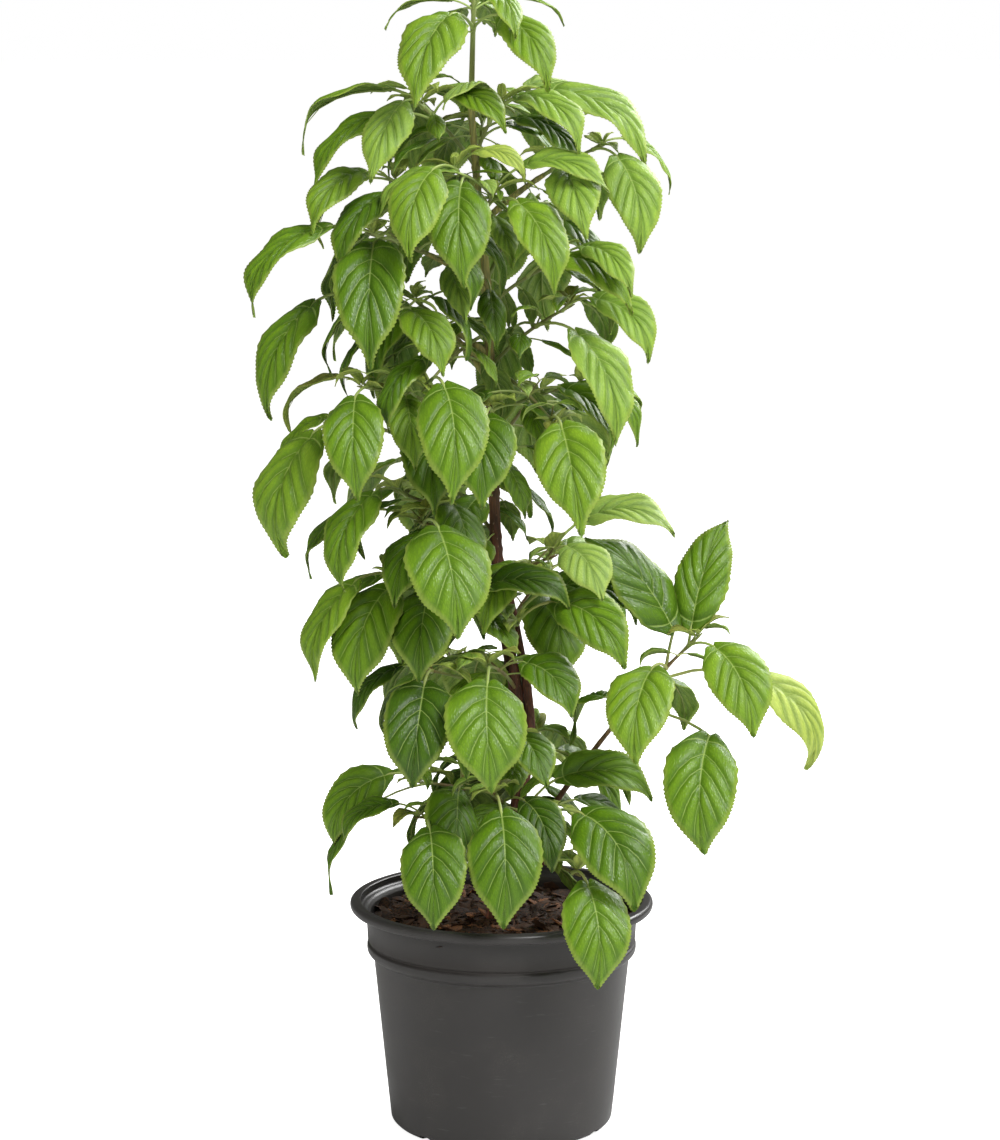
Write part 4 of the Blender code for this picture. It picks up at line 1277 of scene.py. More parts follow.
def effect(name, inputs, outputs):
    """An empty shader node group with its sockets: (name, kind, default) in and names of masks out."""
    group = bpy.data.node_groups.new(name, "ShaderNodeTree")
    for label, kind, value in inputs:
        made = group.interface.new_socket(label, in_out="INPUT", socket_type="NodeSocket" + kind)
        if value is not None:
            made.default_value = value
    for label in outputs:
        group.interface.new_socket(label, in_out="OUTPUT", socket_type="NodeSocketFloat")
    return group, group.nodes.new("NodeGroupInput").outputs, group.nodes.new("NodeGroupOutput")


def finish(name, colour, values):
    """A material with the plain values of its shader set, its node tree and its shader."""
    made = bpy.data.materials.new(name)
    made.use_nodes = True
    made.diffuse_color = (*colour, 1)
    tree = made.node_tree
    shader = tree.nodes["Principled BSDF"]
    plug(tree, shader, {"Base Color": (*colour, 1), **values})
    return made, tree, shader


def vein_effect():
    """Where a blade's midrib, side veins, fine net, margin and bulges lie on its flat sheet."""
    names = ("Midrib", "Side veins", "Net", "Pillow", "Margin", "Bulge")
    inputs = [("Across", "Float", 0.0), ("Run", "Float", 0.0)]
    group, given, out = effect("blade_veins", inputs, names)
    run = given["Run"]
    side = maths(group, "ABSOLUTE", given["Across"])
    fading = ramped(group, run, 0.6, 1.0, 1, 0.45)
    midrib = times(group, ramped(group, side, 0.010, 0.034, 1, 0), fading)
    phase = maths(group, "DIVIDE", minus(group, run, FIRST_VEIN), VEIN_STEP)
    nearest = maths(group, "FRACT", plus(group, phase, 0.5))
    off = maths(group, "ABSOLUTE", minus(group, nearest, 0.5))
    vein = times(group, ramped(group, off, 0.012, 0.05, 1, 0), ramped(group, side, 0.7, 0.96, 1, 0))
    vein = times(group, vein, ramped(group, run, 0.8, 0.92, 1, 0))
    flat = put(group, "CombineXYZ", {"X": given["Across"], "Y": run}).outputs[0]
    inputs = {"Vector": scaled(group, flat, (13.0, 46.0, 1.0)), "Scale": 1.0, "Randomness": 0.9}
    edge = put(group, "TexVoronoi", inputs, feature="DISTANCE_TO_EDGE").outputs["Distance"]
    net = ramped(group, edge, 0.02, 0.2, 1, 0)
    pillow = ramped(group, edge, 0.0, 0.5)
    margin = ramped(group, side, 0.88, 0.99)
    bulge = times(group, ramped(group, off, 0.05, 0.42), ramped(group, side, 0.04, 0.3))
    plug(group, out, dict(zip(names, (midrib, vein, net, pillow, margin, bulge))))
    return group


def tile_tints(tree, tile, tints):
    """The tint of each tile, which are numbered from 0."""
    ramp = put(tree, "ValToRGB", {"Fac": maths(tree, "DIVIDE", plus(tree, tile, 0.5), len(tints))})
    ramp.color_ramp.interpolation = "CONSTANT"
    stops = ramp.color_ramp.elements
    stops.remove(stops[1])
    for k, tint in enumerate(tints):
        stop = stops[0] if k == 0 else stops.new(k / len(tints))
        stop.position = k / len(tints)
        stop.color = (*tint, 1)
    return ramp.outputs["Color"]


def leaf_finish(shape):
    """Living leaf: satin above, with pale veins, a fine net and a yellow-green toothed margin, and with
    painted light and shade: lighter on the quilted bulges, darker in the grooves and in the fine net's
    hollows.
    """
    plain = {
        "Specular IOR Level": 0.42,
        "Subsurface Weight": 0.05,
        "Subsurface Scale": 1.6 * MM,
        "Subsurface Radius": (0.55, 1.0, 0.2),
    }
    made, tree, shader = finish("leaf", tuple(shape.mid), plain)
    sheet = put(tree, "UVMap", {}, uv_map="OFBake").outputs[0]
    parts = put(tree, "SeparateXYZ", {"Vector": sheet}).outputs
    column = times(tree, parts["X"], TILES[0])
    row = times(tree, parts["Y"], TILES[1])
    inner_x, inner_y = maths(tree, "FRACT", column), maths(tree, "FRACT", row)
    across = maths(tree, "DIVIDE", minus(tree, inner_x, 0.5), TILE_HALF)
    run = maths(tree, "DIVIDE", minus(tree, inner_y, TILE_FOOT), TILE_RUN)
    rows_below = times(tree, maths(tree, "FLOOR", row), TILES[0])
    tile = plus(tree, rows_below, maths(tree, "FLOOR", column))
    tint = tile_tints(tree, tile, [getattr(shape, name) for name in (*TINTS, *UNDER_TINTS)])

    veins = use(tree, vein_effect(), {"Across": across, "Run": run})
    flat = put(tree, "CombineXYZ", {"X": across, "Y": run, "Z": tile}).outputs[0]
    cloud = speckle(tree, scaled(tree, flat, (1.6, 3.4, 5.3)), 1.0, 2.0)
    cloudy = ramped(tree, cloud, 0.3, 0.72, 0.0, 0.5)
    shade = mixed(tree, cloudy, tint, (0.62, 0.68, 0.6, 1), "MULTIPLY")
    # Painted light and shade on the quilting: the blade is darkened in the grooves by the side veins and
    # lightened on the bulges between them.
    painted_groove_shade = toned(tree, shade, (0.74, 0.79, 0.7))
    lit = mixed(tree, veins["Bulge"], painted_groove_shade, toned(tree, shade, (1.2, 1.16, 1.05)))
    # Painted shade in the hollows of the fine net: its lines are darkened as if recessed.
    look = mixed(tree, times(tree, veins["Net"], 0.45), lit, toned(tree, lit, (0.6, 0.66, 0.6)))
    # Each line on the blade: how far it shows, its colour and how far it leaves the tint.
    lines = (
        ("Side veins", 0.7, shape.vein, 0.55),
        ("Midrib", 0.75, shape.vein, 0.6),
        ("Margin", 0.75, shape.margin, 0.6),
    )
    for name, amount, colour, apart in lines:
        drawn = mixed(tree, apart, tint, (*colour, 1))
        look = mixed(tree, times(tree, veins[name], amount), look, drawn)
    tree.links.new(look, shader.inputs["Base Color"])

    dull = plus(tree, times(tree, veins["Net"], 0.1), times(tree, cloud, 0.16))
    rough = plus(tree, dull, ramped(tree, tile, 1.0, 8.0, shape.gloss, shape.gloss + 0.2))
    tree.links.new(rough, shader.inputs["Roughness"])
    crumpled = plus(tree, times(tree, veins["Pillow"], 0.8), times(tree, cloud, 0.8))
    bump(tree, shader, minus(tree, crumpled, veins["Side veins"]), 0.55, 0.4 * MM)
    return made


def stalk_finish(name, colour, darker, share):
    """Soft green stalk with fine streaks and a darker flush, which fades towards the plant's top."""
    made, tree, shader = finish(name, colour, {"Specular IOR Level": 0.45})
    place = own_coordinates(tree)
    most = ramped(tree, height_of(tree, place), 0.3, 0.64, share, 0.2 * share)
    flush = times(tree, ramped(tree, speckle(tree, place, 34.0), 0.38, 0.66), most)
    tree.links.new(mixed(tree, flush, (*colour, 1), (*darker, 1)), shader.inputs["Base Color"])
    fine = speckle(tree, place, 900.0)
    tree.links.new(ramped(tree, fine, 0.2, 0.8, 0.38, 0.56), shader.inputs["Roughness"])
    bump(tree, shader, fine, 0.2, 0.1 * MM)
    return made


def bark_effect():
    """Young woody bark: fibres along the stem, dark furrows and pale pores."""
    names = ("Fibre", "Furrow", "Pores")
    inputs = [("Vector", "Vector", None), ("Scale", "Float", 1.0)]
    group, given, out = effect("young_bark", inputs, names)
    inputs = {0: given["Vector"], "Scale": given["Scale"]}
    place = put(group, "VectorMath", inputs, operation="SCALE").outputs[0]
    fibres = speckle(group, scaled(group, place, (900.0, 900.0, 70.0)), 1.0, 4.0)
    folds = speckle(group, scaled(group, place, (360.0, 360.0, 42.0)), 1.0, 3.0)
    furrow = ramped(group, folds, 0.52, 0.7)
    inputs = {"Vector": scaled(group, place, (420.0, 420.0, 210.0)), "Scale": 1.0}
    dots = put(group, "TexVoronoi", inputs).outputs["Distance"]
    pores = ramped(group, dots, 0.08, 0.2, 1, 0)
    plug(group, out, dict(zip(names, (fibres, furrow, pores))))
    return group


def bark_finish(name, bark, low, high, greens):
    """Bark that goes from brown at the foot to green where the stem is young."""
    made, tree, shader = finish(name, low, {"Specular IOR Level": 0.35})
    place = own_coordinates(tree)
    found = use(tree, bark, {"Vector": place, "Scale": 1.0})
    age = ramped(tree, height_of(tree, place), *greens)
    ground = mixed(tree, age, (*low, 1), (*high, 1))
    streaks = ramped(tree, found["Fibre"], 0.36, 0.7, 0.0, 0.75)
    streaked = mixed(tree, streaks, ground, toned(tree, ground, (2.3, 1.9, 1.7)))
    dark = toned(tree, ground, (0.4, 0.38, 0.38))
    furrowed = mixed(tree, times(tree, found["Furrow"], 0.7), streaked, dark)
    dotted = mixed(tree, times(tree, found["Pores"], 0.6), furrowed, (0.30, 0.21, 0.13, 1))
    tree.links.new(dotted, shader.inputs["Base Color"])
    tree.links.new(ramped(tree, found["Fibre"], 0.2, 0.8, 0.42, 0.74), shader.inputs["Roughness"])
    relief = minus(tree, found["Fibre"], times(tree, found["Furrow"], 0.6))
    bump(tree, shader, relief, 0.55, 0.5 * MM)
    return made


def plastic_finish(colour):
    """Moulded plastic with a satin skin and faint scuffs, darkened to a brownish tone inside the lip as
    painted shade, and dull there.
    """
    made, tree, shader = finish("pot_plastic", colour, {"Specular IOR Level": 0.38})
    place = own_coordinates(tree)
    cloud = speckle(tree, place, 26.0, 4.0)
    fine = speckle(tree, place, 1500.0, 2.0)
    scratches = speckle(tree, scaled(tree, place, (60.0, 60.0, 620.0)), 1.0, 5.0)
    scuffs = ramped(tree, scratches, 0.62, 0.75)
    dust = times(tree, ramped(tree, cloud, 0.5, 0.75), ramped(tree, fine, 0.45, 0.7))
    plain = (*colour, 1)
    worn = mixed(tree, ramped(tree, cloud, 0.3, 0.7, 0.0, 0.3), plain, toned(tree, plain, (1.3, 1.28, 1.26)))
    dusted = mixed(tree, times(tree, dust, 0.12), worn, (0.19, 0.165, 0.14, 1))
    scuffed = mixed(tree, times(tree, scuffs, 0.16), dusted, (0.17, 0.168, 0.165, 1))
    level = scaled(tree, place, (1.0, 1.0, 0.0))
    reach = put(tree, "VectorMath", {0: level}, operation="LENGTH").outputs["Value"]
    wall = ramped(tree, reach, COLLAR_RADIUS - 1.4 * MM, COLLAR_RADIUS - 0.2 * MM, 1, 0)
    above = ramped(tree, height_of(tree, place), MIX_TOP - 20 * MM, MIX_TOP - 10 * MM)
    inner = times(tree, wall, above)
    # Painted shade inside the lip: the inner wall above the mix is darkened to a brownish tone.
    inner_painted_shade = mixed(tree, times(tree, inner, 0.7), scuffed, (0.020, 0.015, 0.011, 1))
    tree.links.new(inner_painted_shade, shader.inputs["Base Color"])
    satin = ramped(tree, cloud, 0.25, 0.75, 0.28, 0.38)
    rough = plus(tree, plus(tree, satin, times(tree, scuffs, 0.12)), times(tree, inner, 0.35))
    tree.links.new(rough, shader.inputs["Roughness"])
    bump(tree, shader, fine, 0.12, 0.12 * MM)
    return made


def mix_finish(name, dark, light, scale):
    """Moist composted bark: broken colour and a crumbly grain."""
    made, tree, shader = finish(name, dark, {"Specular IOR Level": 0.3})
    grain = speckle(tree, own_coordinates(tree), scale, 5.0, 0.65)
    crumbs = mixed(tree, ramped(tree, grain, 0.38, 0.66), (*dark, 1), (*light, 1))
    tree.links.new(crumbs, shader.inputs["Base Color"])
    tree.links.new(ramped(tree, grain, 0.3, 0.7, 0.7, 0.95), shader.inputs["Roughness"])
    bump(tree, shader, grain, 0.8, 1.0 * MM)
    return made


def wear(piece, material):
    """Gives a piece its material, its slot and the body it rides on."""
    piece.data.materials.clear()
    piece.data.materials.append(material)
    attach(piece, "root")
    return piece


# ---------------------------------------------------------------- tints and blades of all leaves

# Tints for the leaves of each shoot, from its lowest pair to its tip. On the shoots at the upper right the
# bright and pale tints are partly painted light: they stand in for the light and sheen that fall there.
PALETTES = {
    "right_leap": "deep mid fresh young",
    "crown": "fresh bright pale",
    "upper_left": "mid fresh bright",
    "left_shoulder": "deep mid fresh",
    "left_high": "mid deep mid",
    "left_mid": "deep mid",
    "left_inner": "bright fresh",
    "left_bronze": "fresh mid",
    "left_low": "mid mid fresh",
    "left_knee": "deep deep mid",
    "left_skirt": "deep mid fresh",
    "front_high": "mid fresh",
    "front_mid": "deep mid",
    "front_heart": "deep",
    "front_low": "deep mid",
    "front_skirt": "deep mid",
    "front_knee": "dark deep",
    "front_stem": "deep mid",
    "front_base": "deep mid",
    "right_top": "bright bright pale",
    "right_high": "fresh bright",
    "right_bud": "bright bright",
    "right_shoulder": "fresh bright",
    "right_arch": "bright bright",
    "right_k": "mid fresh",
    "right_small": "mid fresh",
    "right_mid": "fresh pale",
    "right_front": "deep mid",
    "right_low": "mid",
    "low_right": "deep mid",
    "low_right_high": "deep",
    "low_front": "deep deep",
    "low_front_left": "deep",
    "low_left": "deep mid",
}
PLAIN_PALETTE = "deep mid mid fresh"
# Single leaves that differ: the shoot, the listed heading and the tint.
ODD_LEAVES = {
    ("right_leap", 348): "young",
    ("right_leap", 316): "mid",
    ("right_leap", 300): "deep",
    ("right_leap", 50): "mid",
    ("right_leap", 302): "fresh",
    ("left_high", 160): "bright",
    ("left_shoulder", 165): "young",
    ("left_inner", 182): "bright",
    ("left_bronze", 160): "bronze",
    ("right_mid", 340): "pale",
    ("front_stem", 338): "dark",
    ("low_front", 318): "dark",
    ("front_high", 330): "young",
    ("crown", 150): "young",
    ("crown", 20): "young",
}


def listed_heading(shoot, leaf):
    """The heading in the shoot's list that is nearest to the leaf's own."""
    headings = [entry[0] for pair in shoot.nodes for entry in pair]
    return min(headings, key=lambda h: abs((h - leaf.heading + 180) % 360 - 180))


def tint_of(shoot, leaf, share, listed, draw):
    if listed and (shoot.name, listed_heading(shoot, leaf)) in ODD_LEAVES:
        return ODD_LEAVES[shoot.name, listed_heading(shoot, leaf)]
    palette = PALETTES.get(shoot.name, PLAIN_PALETTE).split()
    place = leaf_nodes(shoot).index(share) / max(1, len(shoot.nodes) - 1)
    rank = place * (len(palette) - 1) + draw.uniform(-0.45, 0.45)
    tint = palette[min(len(palette) - 1, max(0, round(rank)))]
    if not listed and draw.random() < 0.6:
        tint = TINTS[max(0, TINTS.index(tint) - 1)]
    return tint


def region_of(shoot):
    """The part of the foliage that a shoot's leaves belong to."""
    if shoot.name.startswith("back"):
        return "back"
    if shoot.tip[2] < 345:
        return "low"
    return "left" if shoot.tip[0] < -20 else "right"


def grown_leaves(found, sheet, shape):
    """The full-grown blades of each part of the foliage, and their petioles."""
    groups, petioles = {}, []
    for shoot in SHOOTS:
        draw = random.Random(shoot.name + " tints")
        for leaf, share, listed in found[shoot.name]:
            tint = tint_of(shoot, leaf, share, listed, draw)
            made = blade(leaf, sheet, GROWN, tint, draw, shape)
            groups.setdefault(region_of(shoot), []).append(made)
            petioles.append(petiole_stalk(leaf, shape.petiole, made, sheet))
    return groups, petioles


def small_leaves(extras, sheet, shape):
    """The small blades of the plant's upper and lower half, and their petioles."""
    draw = random.Random("young blades")
    halves, petioles = {"high": [], "low": []}, []
    for leaf, tint in extras:
        young = tint in ("young", "bronze") or leaf.blade < YOUNG_BLADE
        made = blade(leaf, sheet, YOUNG if young else GROWN, tint, draw, shape)
        halves["high" if leaf.base.z > HALF_HEIGHT else "low"].append(made)
        petioles.append(petiole_stalk(leaf, shape.petiole * 0.9, made, sheet))
    return halves, petioles


# ---------------------------------------------------------------- what a user can change


def measure(name, text, value, top):
    return bpy.props.FloatProperty(
        name=name,
        description=text,
        default=value,
        min=0,
        max=top,
        subtype="DISTANCE",
        unit="LENGTH",
        precision=5,
    )


def factor(name, text, value):
    return bpy.props.FloatProperty(
        name=name, description=text, default=value, min=0, max=1, subtype="FACTOR"
    )


def paint(name, text, value):
    return bpy.props.FloatVectorProperty(
        name=name, description=text, default=value, min=0, max=1, size=3, subtype="COLOR"
    )


class HYDRANGEA_PG_leaves(bpy.types.PropertyGroup):
    """Sizes of the leaves."""

    thickness: measure("Thickness", "How thick a blade is at its midrib", 0.42 * MM, 0.003)
    quilting: measure("Quilting", "How far the blade bulges between two side veins", 1.75 * MM, 0.004)
    tooth: measure("Teeth", "How far the margin's teeth stand out", 1.0 * MM, 0.004)
    waves: measure("Waves", "How far the margins wave up and down", 1.7 * MM, 0.01)
    petiole: measure("Petiole radius", "Radius of a full-sized leaf's petiole", 0.98 * MM, 0.004)
    side_growth: factor("Side growth", "Share of the leaf axils in which a side shoot stands", 0.5)


class HYDRANGEA_PG_leaf_colours(bpy.types.PropertyGroup):
    """Tints of the leaves and their petioles."""

    dark: paint("Dark", "Old leaves in the shade", (0.044, 0.100, 0.003))
    deep: paint("Deep", "Old leaves", (0.074, 0.156, 0.004))
    mid: paint("Mid", "Full-grown leaves", (0.110, 0.212, 0.008))
    fresh: paint("Fresh", "Leaves grown this summer", (0.155, 0.272, 0.015))
    # The bright and pale tints are partly painted light on the shoots at the upper right, where they stand
    # in for light and sheen.
    bright: paint("Bright", "Leaves near the tips", (0.210, 0.340, 0.043))
    pale: paint("Pale", "Leaves just opened", (0.255, 0.375, 0.074))
    young: paint("Young", "The smallest leaves", (0.350, 0.445, 0.080))
    bronze: paint("Bronze", "Flushed young leaves", (0.230, 0.250, 0.040))
    under_dark: paint("Underside of dark", "Underside of dark and deep leaves", (0.150, 0.235, 0.040))
    under_mid: paint("Underside of mid", "Underside of full-grown leaves", (0.215, 0.315, 0.062))
    under_pale: paint("Underside of pale", "Underside of pale leaves", (0.320, 0.425, 0.090))
    under_young: paint("Underside of young", "Underside of the smallest leaves", (0.400, 0.480, 0.110))
    vein: paint("Veins", "Midrib and side veins", (0.390, 0.500, 0.140))
    margin: paint("Margin", "The blade's thin edge", (0.330, 0.400, 0.075))
    gloss: factor("Roughness", "How rough the upper side is", 0.29)
    petiole: paint("Petiole", "Leaf stalks", (0.290, 0.385, 0.100))
    petiole_flush: paint("Petiole flush", "Sunlit side of the leaf stalks", (0.330, 0.220, 0.085))


class HYDRANGEA_PG_wood(bpy.types.PropertyGroup):
    """Relief and colours of the stems and twigs."""

    relief: measure("Bark relief", "Depth of the bark's furrows on the main stem", 0.55 * MM, 0.003)
    old_bark: paint("Old bark", "Stems at the foot", (0.082, 0.034, 0.021))
    young_bark: paint("Young bark", "Stems high up", (0.190, 0.200, 0.062))
    twig: paint("Twig", "Green twigs", (0.190, 0.240, 0.065))
    twig_flush: paint("Twig flush", "Brown side of the twigs", (0.170, 0.080, 0.040))


class HYDRANGEA_PG_pot(bpy.types.PropertyGroup):
    """Colours of the pot and its mix."""

    plastic: paint("Plastic", "The pot", (0.034, 0.0322, 0.0312))
    mix_dark: paint("Mix, dark", "Moist composted bark", (0.009, 0.006, 0.004))
    mix_light: paint("Mix, light", "Drier crumbs", (0.052, 0.030, 0.018))
    chip_brown: paint("Brown chips", "Plain flakes of bark", (0.088, 0.043, 0.023))
    chip_orange: paint("Orange chips", "Fresh flakes of bark", (0.330, 0.140, 0.055))
    chips: bpy.props.IntProperty(
        name="Chips", description="How many flakes of bark lie on the mix", default=1300, min=0, max=4000
    )


class HYDRANGEA_PG_studio(bpy.types.PropertyGroup):
    """The studio."""

    floor: paint("Floor", "The floor and the backdrop", (0.86, 0.86, 0.86))
    sky: factor("Sky", "Strength of the even light", 0.33)
    sky_colour: paint("Sky colour", "Colour of the even light", (1.0, 0.98, 0.90))
    key: bpy.props.FloatProperty(
        name="Key light", description="Power of the main softbox", default=114, min=0, max=1000, unit="POWER"
    )


# ---------------------------------------------------------------- the studio

FLOOR_RADIUS = 60
FLOOR_DIMMED = 0.5  # how much darker the floor is in reflections
SKY_DIMMED = 0.6  # how much darker the sky is in reflections
WHITE = 1.02  # how bright the camera sees the floor, just past white
AIM = Vector((0, 0, 0.36))  # where the lights point
CAMERA_PLACE = (-0.001, -2.2, 0.709)
CAMERA_DOWN = 8.95  # degrees below level
CAMERA_LENS = 110.2
CAMERA_SENSOR = 36


def studio_floor(look):
    """A pale floor that the camera sees as white."""
    bm = bmesh.new()
    bmesh.ops.create_circle(bm, cap_ends=True, segments=96, radius=FLOOR_RADIUS)
    floor = new_piece("studio_floor", made_mesh("studio_floor", bm))
    plain = {"Roughness": 0.8, "Emission Color": (1, 1, 1, 1)}
    pale, tree, shader = finish("studio_pale", tuple(look.floor), plain)
    path = put(tree, "LightPath", {}).outputs
    dimmer = times(tree, path["Is Glossy Ray"], FLOOR_DIMMED)
    dimmed = mixed(tree, dimmer, (*look.floor, 1), (0, 0, 0, 1))
    tree.links.new(dimmed, shader.inputs["Base Color"])
    lift = WHITE - look.sky * look.floor[0] * min(look.sky_colour)
    tree.links.new(times(tree, path["Is Camera Ray"], lift), shader.inputs["Emission Strength"])
    floor.data.materials.append(pale)


def studio_sky(look):
    """An even, warm sky that the camera sees as white."""
    world = bpy.data.worlds.new("studio")
    world.use_nodes = True
    tree = world.node_tree
    path = put(tree, "LightPath", {}).outputs
    seen = path["Is Camera Ray"]
    dimmed = minus(tree, look.sky, times(tree, path["Is Glossy Ray"], SKY_DIMMED * look.sky))
    colour = mixed(tree, seen, (*look.sky_colour, 1), (1, 1, 1, 1))
    strength = maths(tree, "MAXIMUM", seen, dimmed)
    plug(tree, tree.nodes["Background"], {"Color": colour, "Strength": strength})
    return world


def lamp(name, place, size, power):
    """A square softbox that points at the plant."""
    light = bpy.data.lights.new(name, "AREA")
    light.energy = power
    light.shape = "SQUARE"
    light.size = size
    made = new_piece(name, light)
    made.location = place
    made.rotation_euler = (AIM - Vector(place)).to_track_quat("-Z", "Y").to_euler()
    return made


# ---------------------------------------------------------------- one operator for each group of pieces


class HYDRANGEA_OT_pot(bpy.types.Operator):
    """Turn the nursery pot and cut its drainage."""

    bl_idname = "hydrangea.pot"
    bl_label = "Pot"

    def execute(self, context):
        look = context.scene.hydrangea_pot
        pot = new_piece("pot_shell", spun("pot_shell", pot_profile(), POT_TURNS))
        cut_out(pot, drainage())
        pot.data.set_sharp_from_angle(angle=math.radians(SHARP))
        wear(pot, plastic_finish(tuple(look.plastic)))
        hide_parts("pot")
        return {"FINISHED"}


class HYDRANGEA_OT_mix(bpy.types.Operator):
    """Fill the pot with mix and strew bark chips and fibres over it."""

    bl_idname = "hydrangea.mix"
    bl_label = "Potting mix"

    def execute(self, context):
        look = context.scene.hydrangea_pot
        dark, light = tuple(look.mix_dark), tuple(look.mix_light)
        brown, orange = tuple(look.chip_brown), tuple(look.chip_orange)
        bed = new_piece("mix_bed", mix_bed())
        wear(bed, mix_finish("mix_crumbs", dark, light, 420.0))
        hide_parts("potting_mix")
        draw = random.Random("chips")
        sorts = {sort: [] for sort in CHIP_SORTS}
        for x, y in chip_places(draw, look.chips, main_point(MAIN_BOTTOM)):
            sort = draw.choices(tuple(CHIP_SORTS), tuple(CHIP_SORTS.values()))[0]
            sorts[sort].append(chip(draw, x, y))
        tones = {"dark": (dark, brown), "brown": (light, brown), "orange": (brown, orange)}
        for sort, meshes in sorts.items():
            if not meshes:
                continue
            chips = gathered("chips_" + sort, meshes)
            wear(chips, mix_finish("bark_chip_" + sort, *tones[sort], 620.0))
            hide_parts("potting_mix")
        fibres = tubes("mix_fibres", [fibre(draw) for _ in range(FIBRES)], 0)
        wear(fibres, mix_finish("root_fibre", light, orange, 300.0))
        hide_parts("potting_mix")
        return {"FINISHED"}


class HYDRANGEA_OT_stems(bpy.types.Operator):
    """Grow the two stems and the woody boughs with their bark."""

    bl_idname = "hydrangea.stems"
    bl_label = "Stems and boughs"

    def execute(self, context):
        look = context.scene.hydrangea_wood
        bark = bark_effect()
        old, young = tuple(look.old_bark), tuple(look.young_bark)
        wood = bark_finish("bark", bark, old, young, MAIN_GREENS)
        knots = sorted(shoot.joint * MM - MAIN_BOTTOM for shoot in SHOOTS if shoot.name != TWINED)
        main = (main_point, main_radius, MAIN_HEIGHT, knots, *MAIN_GRID, look.relief)
        main = wear(new_piece("stem_main", stem_limb("stem_main", *main)), wood)
        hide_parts("main_stem")
        second = (twine_point, twine_radius, TWINE_TOP, TWINE_KNOTS, *TWINE_GRID, look.relief * 0.6)
        second = wear(new_piece("stem_twining", stem_limb("stem_twining", *second)), wood)
        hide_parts("twining_stem")
        long_shoots = [shoot for shoot in SHOOTS if bare_share(shoot)]
        limbs = [
            bough_limb(shoot, look.relief * 0.4, (k, len(long_shoots)))
            for k, shoot in enumerate(long_shoots)
        ]
        boughs = gathered("boughs", limbs)
        wear(boughs, bark_finish("bough_bark", bark, old, young, BOUGH_GREENS))
        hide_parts(*BOUGHS)
        return {"FINISHED"}


class HYDRANGEA_OT_leaves(bpy.types.Operator):
    """Grow the twigs with their full-grown leaves, side shoots and young leaves."""

    bl_idname = "hydrangea.leaves"
    bl_label = "Twigs and leaves"

    def execute(self, context):
        scene = context.scene
        shape, colours = scene.hydrangea_leaves, scene.hydrangea_leaf_colours
        wood = scene.hydrangea_wood
        solids = {name: solid_space(name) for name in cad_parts}
        found = standing_leaves(solids)
        missing = [name for name, leaves in found.items() if not leaves]
        if missing:
            raise RuntimeError("no leaves were found on " + ", ".join(missing))

        satin = leaf_finish(colours)
        sheet = flat_sheet("blade", ROWS, COLUMNS)
        groups, petioles = grown_leaves(found, sheet, shape)
        for region, meshes in groups.items():
            piece = wear(gathered("leaves_of_" + region, meshes), satin)
            names = ["leaves_" + shoot.name for shoot in SHOOTS if region_of(shoot) == region]
            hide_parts(*names)

        extras, twiglets = side_growth(found, solids, shape.side_growth)
        small = flat_sheet("small_blade", SMALL_ROWS, SMALL_COLUMNS)
        halves, more = small_leaves(extras, small, shape)
        for half, meshes in halves.items():
            piece = wear(gathered("small_leaves_" + half, meshes), satin)
            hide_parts(*MASSES)

        green = stalk_finish("petiole", tuple(colours.petiole), tuple(colours.petiole_flush), 0.35)
        stalks = wear(tubes("petioles", petioles + more), green)
        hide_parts(*MASSES)
        brown = stalk_finish("twig", tuple(wood.twig), tuple(wood.twig_flush), 0.8)
        twigs = [twig_stalk(shoot) for shoot in SHOOTS]
        twigs = wear(tubes("twigs", twigs + twiglets), brown)
        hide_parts(*MASSES)
        for mesh in (sheet.mesh, small.mesh):
            bpy.data.meshes.remove(mesh)
        return {"FINISHED"}


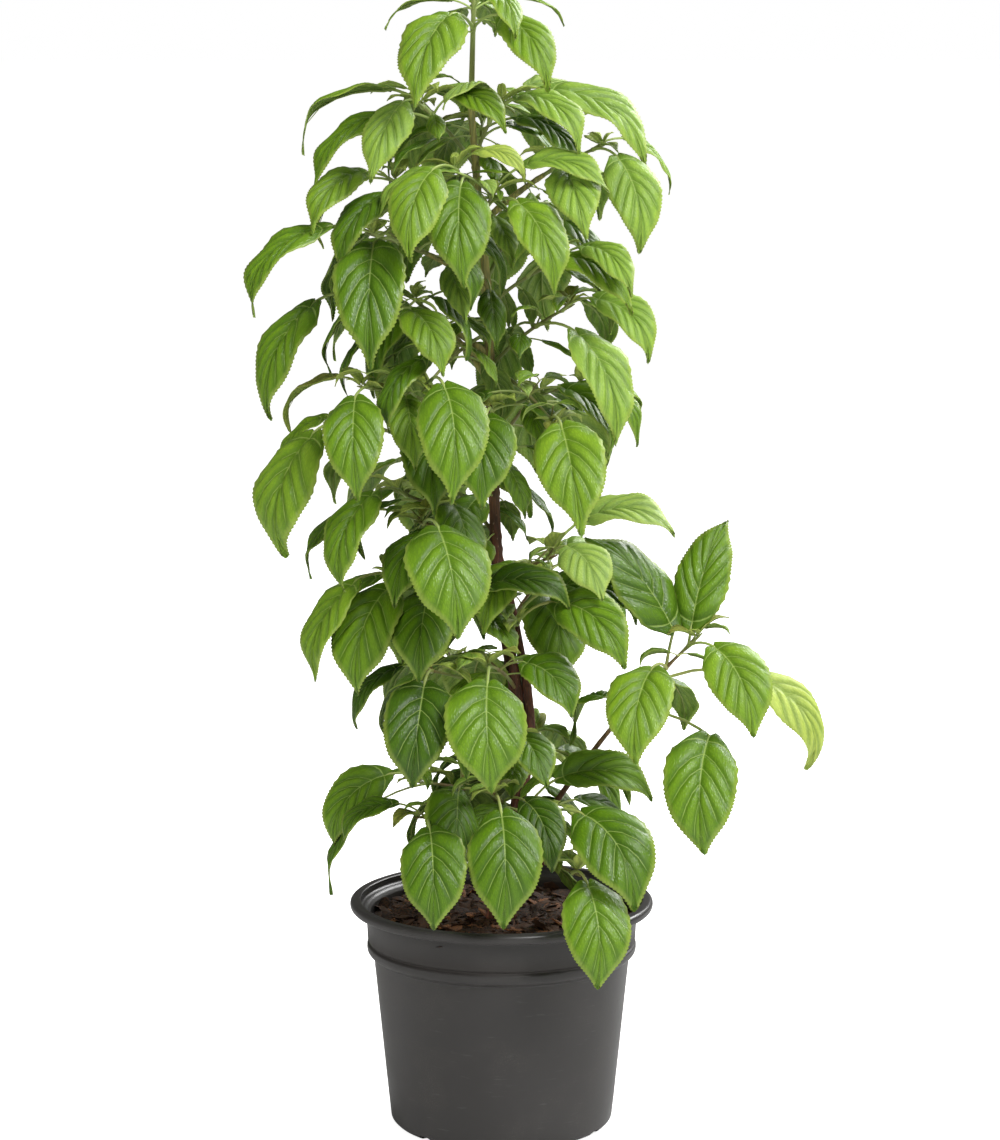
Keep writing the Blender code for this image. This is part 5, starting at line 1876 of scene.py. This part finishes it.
class HYDRANGEA_OT_studio(bpy.types.Operator):
    """Set up the pale floor, the soft lights and the camera."""

    bl_idname = "hydrangea.studio"
    bl_label = "Studio"

    def execute(self, context):
        look = context.scene.hydrangea_studio
        studio_floor(look)
        context.scene.world = studio_sky(look)
        lamp("key", (1.5, -1.7, 2.5), 1.3, look.key)
        lamp("fill", (-2.2, -1.8, 1.4), 1.2, look.key * 0.32).visible_glossy = False
        lamp("rim", (1.3, 1.5, 1.7), 1.2, look.key * 0.5)

        lens = bpy.data.cameras.new("camera")
        lens.lens = CAMERA_LENS
        lens.sensor_width = CAMERA_SENSOR
        view = new_piece("camera", lens)
        view.location = CAMERA_PLACE
        view.rotation_euler = (math.radians(90 - CAMERA_DOWN), 0, 0)
        context.scene.camera = view
        context.scene.view_settings.view_transform = "Standard"
        return {"FINISHED"}


class HYDRANGEA_PT_panel(bpy.types.Panel):
    """The plant's pieces and what can be changed on them."""

    bl_idname = "HYDRANGEA_PT_panel"
    bl_label = "Hydrangea"
    bl_space_type = "VIEW_3D"
    bl_region_type = "UI"
    bl_category = "Hydrangea"

    def draw(self, context):
        for operator in OPERATORS:
            self.layout.operator(operator.bl_idname)
        for name, group in GROUPS.items():
            box = self.layout.box()
            box.label(text=group.__doc__)
            for field in group.__annotations__:
                box.prop(getattr(context.scene, name), field)


GROUPS = {
    "hydrangea_leaves": HYDRANGEA_PG_leaves,
    "hydrangea_leaf_colours": HYDRANGEA_PG_leaf_colours,
    "hydrangea_wood": HYDRANGEA_PG_wood,
    "hydrangea_pot": HYDRANGEA_PG_pot,
    "hydrangea_studio": HYDRANGEA_PG_studio,
}
OPERATORS = (
    HYDRANGEA_OT_pot,
    HYDRANGEA_OT_mix,
    HYDRANGEA_OT_stems,
    HYDRANGEA_OT_leaves,
    HYDRANGEA_OT_studio,
)


def register():
    for made in (*GROUPS.values(), *OPERATORS, HYDRANGEA_PT_panel):
        bpy.utils.register_class(made)
    for name, group in GROUPS.items():
        setattr(bpy.types.Scene, name, bpy.props.PointerProperty(type=group))


def unregister():
    for name in GROUPS:
        delattr(bpy.types.Scene, name)
    for made in (HYDRANGEA_PT_panel, *OPERATORS, *GROUPS.values()):
        bpy.utils.unregister_class(made)


def main():
    register()
    bpy.ops.hydrangea.pot()
    bpy.ops.hydrangea.mix()
    bpy.ops.hydrangea.stems()
    bpy.ops.hydrangea.leaves()
    bpy.ops.hydrangea.studio()
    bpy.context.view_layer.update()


if __name__ == "__main__":
    main()
